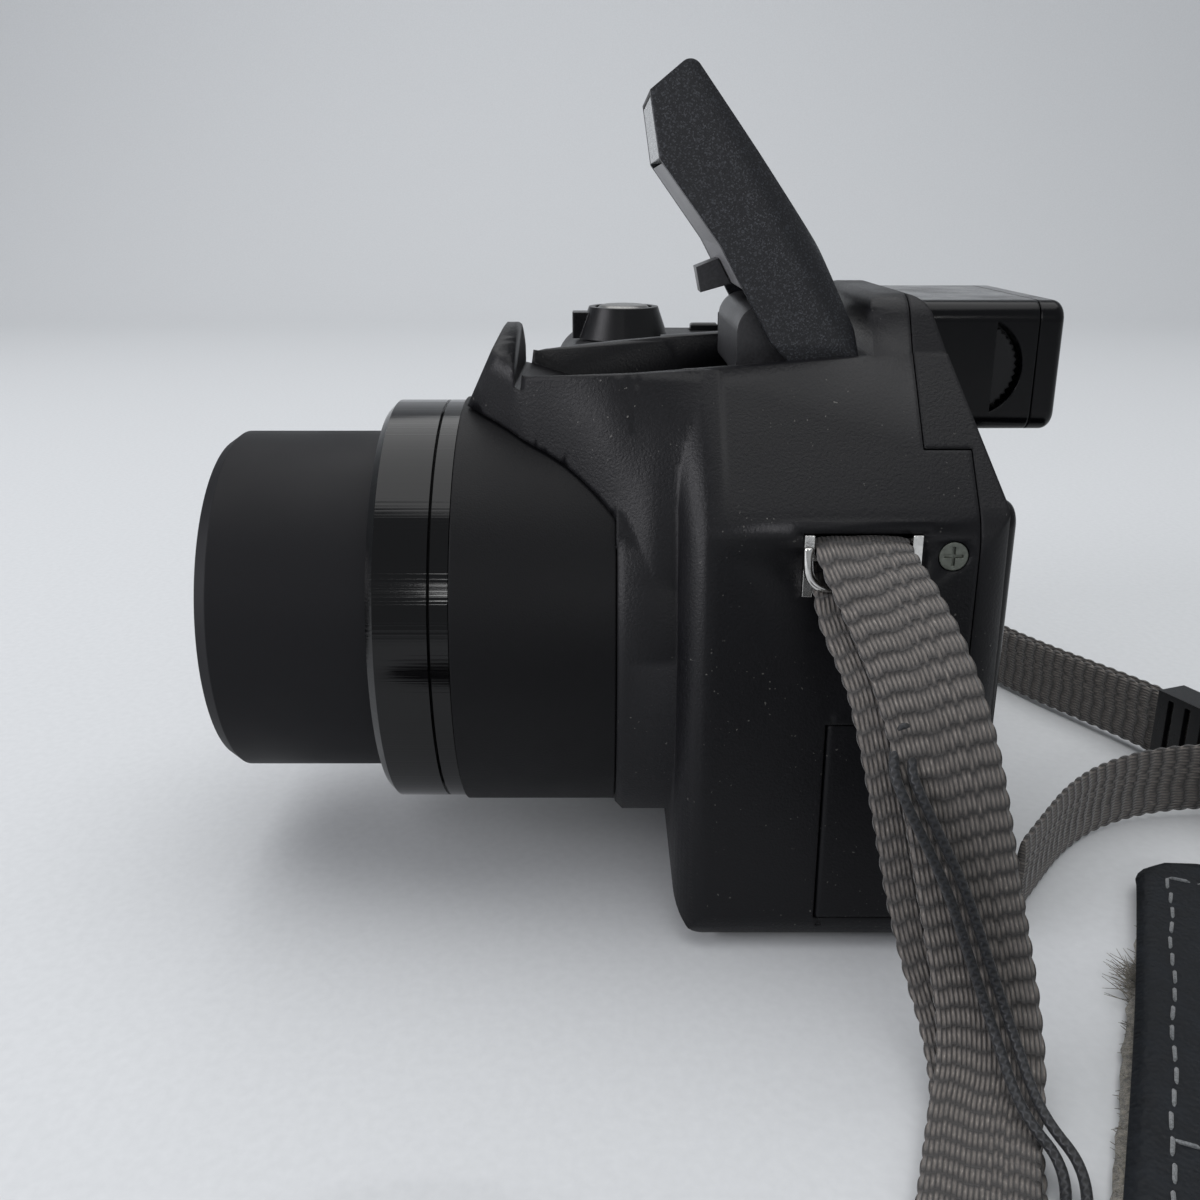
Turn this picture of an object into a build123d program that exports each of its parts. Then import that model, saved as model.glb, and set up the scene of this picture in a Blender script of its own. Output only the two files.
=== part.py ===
from build123d import *
import math
import os

# A bridge camera with its long zoom lens run out, its flash raised and its neck strap on.
# Millimetres. X runs across the camera, towards the photographer's left hand. Y runs from
# the lens to the photographer's eye. Z is up. The origin is the mouth of the tripod socket,
# on the base, straight below the lens axis.

# Driving sizes of the case
BODY_WIDTH = 112.5
LEFT_WIDTH = 31.0
RIGHT_X = LEFT_WIDTH - BODY_WIDTH
BODY_FRONT = -16.6
BODY_REAR_LOW = 18.2
BODY_REAR_TOP = 17.0
DECK_Z = 59.5
SHOULDER_Z = 50.0
REAR_SHOULDER_Z = 52.0
HUMP_TOP_Z = 72.1
WALL = 1.8
THIN_WALL = 1.2
FIT = 0.15
RUNNING_GAP = 0.4
OVERRUN = 2.0
CORNER_MIN = 0.3

# Rounding of the case
LEFT_CORNER = 4.0
RIGHT_CORNER = 9.0
FRONT_HEEL = 7.0
REAR_HEEL = 3.0
BASE_EDGE = 5.0
SHOULDER_EDGE = 7.0
REAR_SHOULDER_EDGE = 6.0
DECK_EDGE = 6.0
GRIP_EDGE = 4.0

# Grip on the photographer's right
GRIP_FRONT = -33.0
GRIP_WIDTH = 32.5
GRIP_NOSE = 10.0
GRIP_SKIN = 0.8
GRIP_SKIN_LOW = 7.0
GRIP_SKIN_HIGH = 51.0
GRIP_SKIN_BACK = -10.0

# Lens: one axis, a fixed barrel with two rings, and the tube that runs out of it
LENS_Z = 32.5
BULGE_RADIUS = 27.3
BULGE_FRONT = -23.1
BARREL_RADIUS = 26.0
BARREL_FRONT = -41.6
BARREL_NECK_RADIUS = 25.2
BARREL_BORE = 22.1
BARREL_REAR = -15.8
SPIGOT_RADIUS = 24.0
RING_RADIUS = 25.6
RING_FRONT = -51.0
RING_SPLIT = -44.1
RING_GROOVE = 0.35
RING_EDGE = 0.9
TUBE_RADIUS = 21.65
TUBE_WALL = 1.4
TUBE_TIP = -71.3
TUBE_LENGTH = 35.0
TUBE_CHAMFER_LENGTH = 1.5
TUBE_CHAMFER_DEPTH = 1.05

# Glass and its cells
BEZEL_DEPTH = 5.0
BEZEL_OPENING = 16.8
FRONT_LENS_RADIUS = 16.6
FRONT_LENS_EDGE = 3.0
FRONT_LENS_CROWN = 2.6
CELL_THICKNESS = 4.0
ZOOM_CELL_FRONT = -35.0
ZOOM_CELL_RADIUS = 17.4
ZOOM_LENS_RADIUS = 11.5
ZOOM_LENS_CROWN = 1.4
ROD_RADIUS = 0.8
ROD_OFFSET = 18.5
ROD_FRONT = -37.9
CHASSIS_RADIUS = 18.2
CHASSIS_WALL = 1.5
CHASSIS_PLATE = 1.4
CHASSIS_REAR = 4.2
STABILISER_FRONT = -12.0
STABILISER_THICKNESS = 3.0
STABILISER_LENS_RADIUS = 9.0
IRIS_FRONT = -7.0
IRIS_THICKNESS = 1.4
IRIS_OPENING = 4.5
FOCUS_FRONT = -2.8
FOCUS_THICKNESS = 2.4
FOCUS_LENS_RADIUS = 8.0
SENSOR_WIDTH = 12.0
SENSOR_HEIGHT = 10.0
SENSOR_THICKNESS = 1.4
SENSOR_BOARD_WIDTH = 24.0
SENSOR_BOARD_HEIGHT = 20.0
BOARD_THICKNESS = 1.0

# Hump over the lens, with its horn, and the trough that the flash folds into
HUMP_NOSE_Y = -41.4
HUMP_NOSE_HALF = 5.0
HUMP_CHEEK_Y = -33.8
HUMP_CHEEK_HALF = 12.6
HUMP_WING_Y = -27.4
HUMP_WING_HALF = 17.0
HUMP_ROOT_Y = -23.4
HUMP_ROOT_HALF = 23.0
HORN_FOOT_Z = 57.6
HORN_PEAK_Z = 67.8
HORN_PEAK_Y = -36.4
HORN_TIP = 1.3
HORN_ARCH_HALF = 12.4
RIM_FRONT_Z = 62.9
RIM_REAR_Z = 65.8
RIM_HALF = 17.4
HUMP_BOTTOM_Z = 44.0
REAR_HUMP_FRONT = 4.7
REAR_HUMP_BACK = 10.8
REAR_HUMP_HALF = 13.5
REAR_HUMP_EDGE = 4.5
DECK_STEP_X = -27.0

TROUGH_FRONT = -34.8
TROUGH_FRONT_HALF = 12.0
TROUGH_REAR_HALF = 15.9
TROUGH_STEP_Z = 61.6
TROUGH_FLOOR_Z = 59.5
TROUGH_KNEE_Y = -28.6
WELL_FRONT = -14.5
WELL_FLOOR_Z = 53.1
WELL_REAR = 4.4

# Flash head, drawn as it stands when raised
HINGE_Y = 1.5
HINGE_Z = 64.2
HINGE_PIN_RADIUS = 0.75
HEAD_HALF_TIP = 11.4
HEAD_HALF_FOOT = 15.5
HEAD_SKIN = 1.3
HEAD_ARM = 2.0
HEAD_FOOT_RADIUS = 2.6
HEAD_TIP_Y = -15.2
HEAD_TIP_Z = 96.6
HEAD_BROW_Y = -19.7
HEAD_BROW_Z = 93.0
HEAD_CHIN_Y = -18.6
HEAD_CHIN_Z = 86.1
HEAD_KNEE_Y = -11.9
HEAD_KNEE_Z = 77.2
HEAD_SHIN_Y = -6.2
HEAD_SHIN_Z = 67.0
HEAD_BACK_Y = -8.0
HEAD_BACK_Z = 86.9
HEAD_BEND_Y = -1.0
HEAD_BEND_Z = 77.2
HEAD_HEEL_Y = 3.0
HEAD_HEEL_Z = 68.4
HEAD_CROWN_EDGE = 4.0
HEAD_CROWN_OUT = 1.1
KNUCKLE_HALF = 11.0
KNUCKLE_REACH = 11.0
KNUCKLE_RISE = 6.6
KNUCKLE_DROP = 2.0
KNUCKLE_EDGE = 3.0
UNDERSIDE_THICKNESS = 0.8
HOOK_HALF = 2.2
HOOK_REACH = 2.6
HOOK_DROP = 1.0
HOOK_ROOT_Z = 75.4
HOOK_HEIGHT = 2.9
HOOK_NOTCH = 2.0
HOOK_NOTCH_Z = 55.2
WINDOW_THICKNESS = 1.0
REFLECTOR_DEPTH = 5.0
FLASH_TUBE_RADIUS = 1.1

# Eyepiece block at the back of the hump
EVF_HALF = 14.0
EVF_FRONT = 9.2
EVF_SPLIT = 23.5
EVF_REAR = 26.5
EVF_BOTTOM_Z = 57.0
EVF_TOP_Z = 71.4
EVF_EDGE = 2.2
EVF_ROOM_HALF = 10.5
EVF_SEAM_Y = 9.0
EVF_SEAM_Z = 57.2
EYEPIECE_HALF = 9.0
EYEPIECE_HEIGHT = 9.0
EYELENS_THICKNESS = 3.0
DISPLAY_THICKNESS = 2.0
DIOPTER_Y = 16.6
DIOPTER_Z = 64.2
DIOPTER_RADIUS = 5.1
DIOPTER_THICKNESS = 1.3
DIOPTER_SKIN = 0.6
DIOPTER_WINDOW_Y = 18.9
DIOPTER_TEETH = 40
DIOPTER_AXLE = 1.2

# Back of the camera
REAR_SEAM_Y = 14.0
LCD_EDGE_LEFT = 9.0
LCD_EDGE_RIGHT = 45.5
LCD_LEFT = LEFT_WIDTH - LCD_EDGE_LEFT
LCD_WIDTH = LCD_LEFT - RIGHT_X - LCD_EDGE_RIGHT
LCD_BOTTOM_Z = 8.0
LCD_TOP_Z = 50.4
LCD_REAR = 20.9
LCD_FRONT = 14.6
LCD_CORNER = 2.6
LCD_BORDER = 3.4
LCD_GLASS = 0.8

# Controls
BUTTON_TRAVEL = 0.6
BUTTON_PROUD = 0.7
SHUTTER_INSET = 21.5
SHUTTER_X = RIGHT_X + SHUTTER_INSET
SHUTTER_Y = -21.0
LEVER_BASE_RADIUS = 7.7
LEVER_TOP_RADIUS = 5.9
LEVER_HEIGHT = 5.2
LEVER_DISH = 4.9
LEVER_TAB = 2.0
SHUTTER_RADIUS = 4.6
SHUTTER_TRAVEL = 1.0
DIAL_INSET = 23.5
DIAL_X = RIGHT_X + DIAL_INSET
DIAL_Y = 3.6
DIAL_RADIUS = 8.6
DIAL_HEIGHT = 5.6
DIAL_RIBS = 40
DIAL_RIB_DEPTH = 0.3
SWITCH_INSET = 7.5
SWITCH_X = RIGHT_X + SWITCH_INSET
SWITCH_Y = -6.0
SWITCH_LENGTH = 5.0
SWITCH_WIDTH = 2.6
SWITCH_TRAVEL = 3.0
BURST_INSET = 8.0
BURST_X = RIGHT_X + BURST_INSET
BURST_Y = -16.0
SMALL_BUTTON_RADIUS = 2.1
FLASH_BUTTON_INSET = 7.0
FLASH_BUTTON_X = DECK_STEP_X - FLASH_BUTTON_INSET
FLASH_BUTTON_Y = -9.5
PAD_INSET = 21.0
PAD_X = RIGHT_X + PAD_INSET
PAD_Z = 30.0
PAD_RADIUS = 9.5
PAD_HOLE = 3.9
MENU_RADIUS = 3.5
PAD_THICKNESS = 1.6
PAD_PIVOT_Y = 17.0
PAD_PIVOT_RADIUS = 0.5
REAR_BUTTON_X = PAD_X
REAR_BUTTON_SPREAD = 8.5
REAR_BUTTON_Z = 13.0

# Base, tripod socket, battery and card
BASE_PLATE = 1.8
BASE_MARGIN = 4.5
SOCKET_RADIUS = 5.5
SOCKET_BORE = 3.175
SOCKET_DEPTH = 6.0
SOCKET_HEIGHT = 7.5
DOOR_INSET = 24.5
DOOR_LEFT = RIGHT_X + DOOR_INSET
DOOR_FRONT = -27.0
DOOR_BACK = 10.6
DOOR_KNUCKLE = 1.1
DOOR_THICKNESS = 1.6
BATTERY_THICKNESS = 10.4
BATTERY_WIDTH = 35.0
BATTERY_HEIGHT = 40.0
BATTERY_INSET = 6.9
BATTERY_RIGHT = RIGHT_X + BATTERY_INSET
BATTERY_FRONT = -24.5
BATTERY_EDGE = 1.5
CARD_THICKNESS = 2.1
CARD_WIDTH = 24.0
CARD_HEIGHT = 32.0
CARD_GAP = 2.0
CARD_RIGHT = BATTERY_RIGHT + BATTERY_THICKNESS + CARD_GAP
CARD_FRONT = -18.0
CARD_NOTCH = 4.0
HOLDER_WALL = 0.9
HOLDER_TOP_Z = 45.0
STOW_Z = 2.3

# Left side: terminal door, strap lug and screw
TERMINAL_FRONT = -0.6
TERMINAL_LOW_Z = 4.4
TERMINAL_HIGH_Z = 28.2
TERMINAL_SKIN = 1.2
TERMINAL_PIN = 0.7
JACK_RADIUS = 2.0
JACK_DEPTH = 4.0
LUG_FRONT = -4.2
LUG_BACK = 8.0
LUG_LOW_Z = 42.9
LUG_HIGH_Z = 49.6
LUG_POCKET = 4.4
LUG_CHEEK = 1.0
LUG_BAR = 0.9
LUG_BAR_OUT = 1.4
LUG_BAR_Z = 46.9
SCREW_Y = 11.3
SCREW_Z = 47.2
SCREW_RADIUS = 1.5
SCREW_HEAD = 1.0
SCREW_SLOT = 0.35

# Boards inside
MAIN_BOARD_INSET_RIGHT = 35.5
MAIN_BOARD_INSET_LEFT = 6.0
MAIN_BOARD_RIGHT = RIGHT_X + MAIN_BOARD_INSET_RIGHT
MAIN_BOARD_LEFT = LEFT_WIDTH - MAIN_BOARD_INSET_LEFT
MAIN_BOARD_LOW = 6.0
MAIN_BOARD_HIGH = 50.0
MAIN_BOARD_FRONT = 7.6
CHIP_HEIGHT = 1.2
CHIP_SIZE = 12.0
FLASH_BOARD_INSET = 34.5
FLASH_BOARD_RIGHT = RIGHT_X + FLASH_BOARD_INSET
FLASH_BOARD_WIDTH = 20.0
FLASH_BOARD_LEFT = FLASH_BOARD_RIGHT + FLASH_BOARD_WIDTH
FLASH_BOARD_FRONT = -1.8
CAPACITOR_RADIUS = 5.5
CAPACITOR_LENGTH = 30.0

# Neck strap: doubled flat webbing, a padded middle, two sliders
WEB_WIDTH = 9.8
WEB_THICKNESS = 1.2
WEB_LAYER = 1.45
PAD_STRAP_WIDTH = 35.0
PAD_STRAP_THICKNESS = 3.0
PAD_STRAP_PITCH = 3.5
PAD_STRAP_FLAT = 132.0
PAD_STRAP_FOLD = 44.0
PAD_STRAP_LAYERS = 5
PAD_STRAP_CORNER = 6.0
PAD_STRAP_START = -14.0
PAD_STRAP_Y = 60.6
PAD_STRAP_HEADING = -24.2
SLIDER_LENGTH = 8.0
SLIDER_WALL = 0.9
SLIDER_BAR = 2.0
SLIDER_PLAY = 0.25

# Lens cap on its doubled cord
CORD_DIAMETER = 1.0
CORD_SPREAD = 0.85
CAP_RADIUS = 23.0
CAP_THICKNESS = 6.0
CAP_SKIN = 1.5
CAP_PLACE = (LEFT_WIDTH + 67.0, -39.0)
CAP_LOOP = 1.6

# Places that several pieces share
TERMINAL_BACK = REAR_SEAM_Y - FIT
GRIP_LEFT = RIGHT_X + GRIP_WIDTH
DOOR_RIGHT = RIGHT_X + BASE_MARGIN + FIT
DOOR_AXIS_X = DOOR_LEFT - DOOR_KNUCKLE
TUBE_REAR = TUBE_TIP + TUBE_LENGTH
LENS_AXIS = Axis((0, 0, LENS_Z), (0, 1, 0))
CASE_TOP = HUMP_TOP_Z + OVERRUN


def outline(points, radii=None):
    """A closed outline through the points, each corner rounded by its own radius."""
    sketch = make_face(Polyline(*points, close=True))
    for point, radius in zip(points, radii or []):
        if radius:
            corner = min(sketch.vertices(), key=lambda v: (Vector(v.X, v.Y) - Vector(*point)).length)
            sketch = fillet(corner, radius)
    return sketch


def along_x(sketch, x0, x1):
    """A (Y, Z) outline made solid from x0 to x1."""
    return extrude(Plane.YZ.offset(x0) * sketch, amount=x1 - x0)


def along_y(sketch, y0, y1):
    """An (X, Z) outline made solid from y0 to y1."""
    return extrude(Plane.XZ.offset(-y1) * sketch, amount=y1 - y0)


def along_z(sketch, z0, z1):
    """An (X, Y) outline made solid from z0 to z1."""
    return extrude(Plane.XY.offset(z0) * sketch, amount=z1 - z0)


def rectangle(a0, a1, b0, b1, radius=0):
    """A rectangle between two corners, with its corners rounded."""
    corners = [(a0, b0), (a1, b0), (a1, b1), (a0, b1)]
    return outline(corners, [radius] * len(corners))


def box(x0, x1, y0, y1, z0, z1):
    """A plain box between two corners."""
    return along_z(rectangle(x0, x1, y0, y1), z0, z1)


def rod_x(radius, x0, x1, y, z):
    return along_x(Location((y, z)) * Circle(radius), x0, x1)


def rod_y(radius, y0, y1, x, z):
    return along_y(Location((x, z)) * Circle(radius), y0, y1)


def rod_z(radius, z0, z1, x, y):
    return along_z(Location((x, y)) * Circle(radius), z0, z1)


def turned(profile):
    """A profile of (y, radius) points turned about the lens axis."""
    plane = Plane(origin=(0, 0, LENS_Z), x_dir=(0, 1, 0), z_dir=(1, 0, 0))
    return revolve(plane * make_face(Polyline(*profile, close=True)), LENS_AXIS, 360)


def tube_y(outer, inner, y0, y1):
    """A ring about the lens axis."""
    return turned([(y0, inner), (y0, outer), (y1, outer), (y1, inner)])


def lens_y(radius, edge, crown, y0):
    """A glass with a domed front, its edge from y0 to y0 + edge."""
    arc_start = (y0, radius)
    arc_end = (y0 - crown, 0)
    sphere = (radius ** 2 + crown ** 2) / (2 * crown)
    bend = math.asin(radius / sphere) / 2
    arc_middle = (y0 - crown + sphere * (1 - math.cos(bend)), sphere * math.sin(bend))
    plane = Plane(origin=(0, 0, LENS_Z), x_dir=(0, 1, 0), z_dir=(1, 0, 0))
    edges = [
        ThreePointArc(arc_start, arc_middle, arc_end),
        Line(arc_end, (y0 + edge, 0)),
        Line((y0 + edge, 0), (y0 + edge, radius)),
        Line((y0 + edge, radius), arc_start),
    ]
    return revolve(plane * make_face(edges), LENS_AXIS, 360)


def rounded(radius, inset):
    """A corner radius inside a wall, never down to nothing."""
    return max(radius - inset, CORNER_MIN)


def rim_z(y):
    """Height of the hump's rim, which climbs from the horn to the hinge."""
    share = (y - TROUGH_FRONT) / (WELL_REAR - TROUGH_FRONT)
    return RIM_FRONT_Z + (RIM_REAR_Z - RIM_FRONT_Z) * share


# The case as one form. An inset gives the room inside its walls.
def main_form(inset=0):
    left, right = LEFT_WIDTH - inset, RIGHT_X + inset
    front, low, top = BODY_FRONT + inset, BODY_REAR_LOW - inset, BODY_REAR_TOP - inset
    plan = outline(
        [(left, front), (left, low), (right, low), (right, front)],
        [rounded(LEFT_CORNER, inset), rounded(LEFT_CORNER, inset),
         rounded(RIGHT_CORNER, inset), rounded(RIGHT_CORNER, inset)])
    slope_back = REAR_HUMP_BACK + (HUMP_TOP_Z - rim_z(REAR_HUMP_BACK)) * (
        BODY_REAR_TOP - REAR_HUMP_BACK) / (HUMP_TOP_Z - REAR_SHOULDER_Z)
    side = outline(
        [(front, inset), (low, inset), (top, REAR_SHOULDER_Z),
         (slope_back - inset, rim_z(slope_back) - inset),
         (front, rim_z(BODY_FRONT) - inset)],
        [rounded(FRONT_HEEL, inset), rounded(REAR_HEEL, inset), rounded(REAR_SHOULDER_EDGE, inset), 0, 0])
    rim_top = RIM_REAR_Z + CORNER_MIN - inset
    face = outline(
        [(right, inset), (left, inset), (left, SHOULDER_Z), (RIM_HALF - inset, rim_top),
         (inset - RIM_HALF, rim_top), (DECK_STEP_X, DECK_Z - inset), (right, DECK_Z - inset)],
        [rounded(BASE_EDGE, inset), rounded(BASE_EDGE, inset), rounded(SHOULDER_EDGE, inset), 0, 0,
         rounded(REAR_HEEL, inset), rounded(DECK_EDGE, inset)])
    block = along_z(plan, inset, CASE_TOP)
    block &= along_x(side, right, left)
    return block & along_y(face, front, low)


def grip_form(inset=0):
    left, right, front = GRIP_LEFT - inset, RIGHT_X + inset, GRIP_FRONT + inset
    plan = outline(
        [(left, 0), (left, front), (right, front), (right, 0)],
        [0, rounded(GRIP_NOSE, inset), rounded(GRIP_NOSE, inset), 0])
    side = outline(
        [(front, inset), (0, inset), (0, DECK_Z - inset), (front, DECK_Z - inset)],
        [rounded(GRIP_EDGE, inset), 0, 0, rounded(DECK_EDGE, inset)])
    face = rectangle(right, left, inset, DECK_Z - inset, rounded(GRIP_EDGE, inset))
    return along_z(plan, inset, DECK_Z) & along_x(side, right, left) & along_y(face, front, 0)


def rear_hump_form(inset=0):
    half = REAR_HUMP_HALF - inset
    foot_half = RIM_HALF - inset
    front = REAR_HUMP_FRONT + inset
    side = outline(
        [(front, SHOULDER_Z), (BODY_REAR_TOP - inset, REAR_SHOULDER_Z),
         (REAR_HUMP_BACK - inset, HUMP_TOP_Z - inset),
         (front, HUMP_TOP_Z - inset)],
        [0, 0, rounded(REAR_HEEL, inset), rounded(DIOPTER_THICKNESS, inset)])
    face = outline(
        [(-foot_half, SHOULDER_Z), (foot_half, SHOULDER_Z), (foot_half, RIM_REAR_Z - inset),
         (half, HUMP_TOP_Z - inset), (-half, HUMP_TOP_Z - inset), (-foot_half, RIM_REAR_Z - inset)],
        [0, 0, 0, rounded(REAR_HUMP_EDGE, inset), rounded(REAR_HUMP_EDGE, inset), 0])
    return along_x(side, -RIM_HALF, RIM_HALF) & along_y(face, front, BODY_REAR_TOP)


def hump_form():
    """The peak of the hump, which reaches forward over the lens barrel."""
    half_plan = [(HUMP_NOSE_HALF, HUMP_NOSE_Y), (HUMP_CHEEK_HALF, HUMP_CHEEK_Y),
                 (HUMP_WING_HALF, HUMP_WING_Y),
                 (HUMP_ROOT_HALF, HUMP_ROOT_Y), (HUMP_ROOT_HALF, BODY_FRONT + WALL)]
    half_radii = [HUMP_NOSE_HALF, DECK_EDGE, DECK_EDGE, WALL, 0]
    plan = outline(
        half_plan + [(-x, y) for x, y in reversed(half_plan)],
        half_radii + list(reversed(half_radii)))
    horn_back = HORN_PEAK_Y + HORN_TIP
    side = outline(
        [(HUMP_NOSE_Y, HUMP_BOTTOM_Z), (BODY_FRONT + WALL, HUMP_BOTTOM_Z),
         (BODY_FRONT + WALL, rim_z(BODY_FRONT + WALL)),
         (TROUGH_FRONT + WALL, rim_z(TROUGH_FRONT + WALL)), (horn_back, HORN_PEAK_Z),
         (HORN_PEAK_Y, HORN_PEAK_Z),
         (HUMP_NOSE_Y, HORN_FOOT_Z)],
        [0, 0, 0, WALL, HORN_TIP / 3, HORN_TIP / 3, DECK_EDGE])
    arch = make_face([
        ThreePointArc((-HORN_ARCH_HALF, RIM_FRONT_Z), (0, HORN_PEAK_Z), (HORN_ARCH_HALF, RIM_FRONT_Z)),
        Polyline((HORN_ARCH_HALF, RIM_FRONT_Z), (RIM_HALF, rim_z(BODY_FRONT)), (HUMP_ROOT_HALF, SHOULDER_Z),
                 (HUMP_ROOT_HALF, HUMP_BOTTOM_Z), (-HUMP_ROOT_HALF, HUMP_BOTTOM_Z),
                 (-HUMP_ROOT_HALF, SHOULDER_Z),
                 (-RIM_HALF, rim_z(BODY_FRONT)), (-HORN_ARCH_HALF, RIM_FRONT_Z))])
    return (along_z(plan, HUMP_BOTTOM_Z, CASE_TOP)
            & along_x(side, -HUMP_ROOT_HALF, HUMP_ROOT_HALF)) & along_y(
        arch, HUMP_NOSE_Y, BODY_FRONT + WALL)


def trough_plan(margin=0):
    return outline([
        (TROUGH_FRONT_HALF + margin, TROUGH_FRONT - margin),
        (TROUGH_REAR_HALF + margin, WELL_FRONT - margin),
        (TROUGH_REAR_HALF + margin, WELL_REAR + margin), (-TROUGH_REAR_HALF - margin, WELL_REAR + margin),
        (-TROUGH_REAR_HALF - margin, WELL_FRONT - margin),
        (-TROUGH_FRONT_HALF - margin, TROUGH_FRONT - margin)])


def trough_form(margin=0):
    """The trough for the folded flash, or with a margin the tub whose walls hold it."""
    side = outline([
        (TROUGH_FRONT - margin, TROUGH_STEP_Z - margin), (TROUGH_KNEE_Y - margin, TROUGH_FLOOR_Z - margin),
        (WELL_FRONT - margin, TROUGH_FLOOR_Z - margin), (WELL_FRONT - margin, WELL_FLOOR_Z - margin),
        (WELL_REAR + margin, WELL_FLOOR_Z - margin), (WELL_REAR + margin, CASE_TOP),
        (TROUGH_FRONT - margin, CASE_TOP)])
    reach = TROUGH_REAR_HALF + margin
    return along_z(trough_plan(margin), WELL_FLOOR_Z - margin, CASE_TOP) & along_x(side, -reach, reach)


def bulge_form():
    profile = [(BULGE_FRONT, 0), (BULGE_FRONT, BULGE_RADIUS - WALL / 2),
               (BULGE_FRONT + WALL / 2, BULGE_RADIUS),
               (BODY_FRONT + WALL, BULGE_RADIUS), (BODY_FRONT + WALL, 0)]
    return turned(profile)


def base_region(gap=0):
    """The flat base between its rounded edges, main part and grip part together."""
    right, left = RIGHT_X + BASE_MARGIN - gap, LEFT_WIDTH - BASE_MARGIN + gap
    front, back = BODY_FRONT + BASE_MARGIN - gap, BODY_REAR_LOW - BASE_MARGIN + gap
    main = rectangle(right, left, front, back)
    grip = rectangle(right, GRIP_LEFT - BASE_MARGIN + gap, GRIP_FRONT + BASE_MARGIN - gap, back)
    return along_z(main + grip, 0, BASE_PLATE + gap)


def rear_region(gap=0):
    """What belongs to the rear cover: the back, and the back of the hump."""
    side = outline([
        (REAR_SEAM_Y - gap, -OVERRUN), (BODY_REAR_LOW + OVERRUN, -OVERRUN),
        (BODY_REAR_LOW + OVERRUN, CASE_TOP),
        (EVF_SEAM_Y - gap, CASE_TOP), (EVF_SEAM_Y - gap, EVF_SEAM_Z - gap),
        (REAR_SEAM_Y - gap, EVF_SEAM_Z - gap)])
    region = along_x(side, RIGHT_X - OVERRUN, LEFT_WIDTH + OVERRUN)
    return region - box(RIGHT_X - 2 * OVERRUN, DECK_STEP_X - gap, 0, REAR_SEAM_Y - gap, 0, CASE_TOP)


def deck_region(gap=0):
    """What belongs to the top plate: the deck over the grip."""
    floor = DECK_Z - DECK_EDGE / 2
    return box(RIGHT_X - OVERRUN, DECK_STEP_X + gap, GRIP_FRONT - OVERRUN, REAR_SEAM_Y, floor - gap,
               CASE_TOP)


def lug_pocket(side, margin=0):
    """The pocket of a strap lug: side 1 is the left one, side -1 the right one."""
    wall = LEFT_WIDTH if side > 0 else -RIGHT_X
    floor, mouth = wall - LUG_POCKET - margin, wall + OVERRUN
    if margin:
        mouth = wall - CORNER_MIN
    x0, x1 = sorted((side * floor, side * mouth))
    pocket = rectangle(LUG_FRONT - margin, LUG_BACK + margin, LUG_LOW_Z - margin, LUG_HIGH_Z + margin)
    return along_x(pocket, x0, x1)


def terminal_region(gap=0):
    return box(LEFT_WIDTH - WALL - OVERRUN, LEFT_WIDTH + OVERRUN, TERMINAL_FRONT - gap, TERMINAL_BACK + gap,
               TERMINAL_LOW_Z - gap, TERMINAL_HIGH_Z + gap)


def control_holes():
    """Holes in the case for the buttons and the dial, each one clear of its stem."""
    deck_low = DECK_Z - WALL - OVERRUN
    deck_high = DECK_Z + OVERRUN
    back = BODY_REAR_LOW + OVERRUN
    inner = BODY_REAR_TOP - WALL - OVERRUN
    holes = [
        rod_z(SHUTTER_RADIUS + FIT - WALL, deck_low, deck_high, SHUTTER_X, SHUTTER_Y),
        rod_z(DIAL_RADIUS / 3 + FIT, deck_low, deck_high, DIAL_X, DIAL_Y),
        rod_z(SMALL_BUTTON_RADIUS + FIT, deck_low, deck_high, BURST_X, BURST_Y),
        rod_z(SMALL_BUTTON_RADIUS + FIT, deck_low, deck_high, FLASH_BUTTON_X, FLASH_BUTTON_Y),
        box(SWITCH_X - SWITCH_WIDTH / 2 - FIT, SWITCH_X + SWITCH_WIDTH / 2 + FIT,
            SWITCH_Y - SWITCH_LENGTH / 2 - FIT, SWITCH_Y + SWITCH_LENGTH / 2 + SWITCH_TRAVEL + FIT,
            deck_low, deck_high),
        rod_y(PAD_RADIUS + RUNNING_GAP, inner, back, PAD_X, PAD_Z),
        rod_y(SMALL_BUTTON_RADIUS + FIT, inner, back, REAR_BUTTON_X - REAR_BUTTON_SPREAD, REAR_BUTTON_Z),
        rod_y(SMALL_BUTTON_RADIUS + FIT, inner, back, REAR_BUTTON_X + REAR_BUTTON_SPREAD, REAR_BUTTON_Z),
    ]
    return holes


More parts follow.
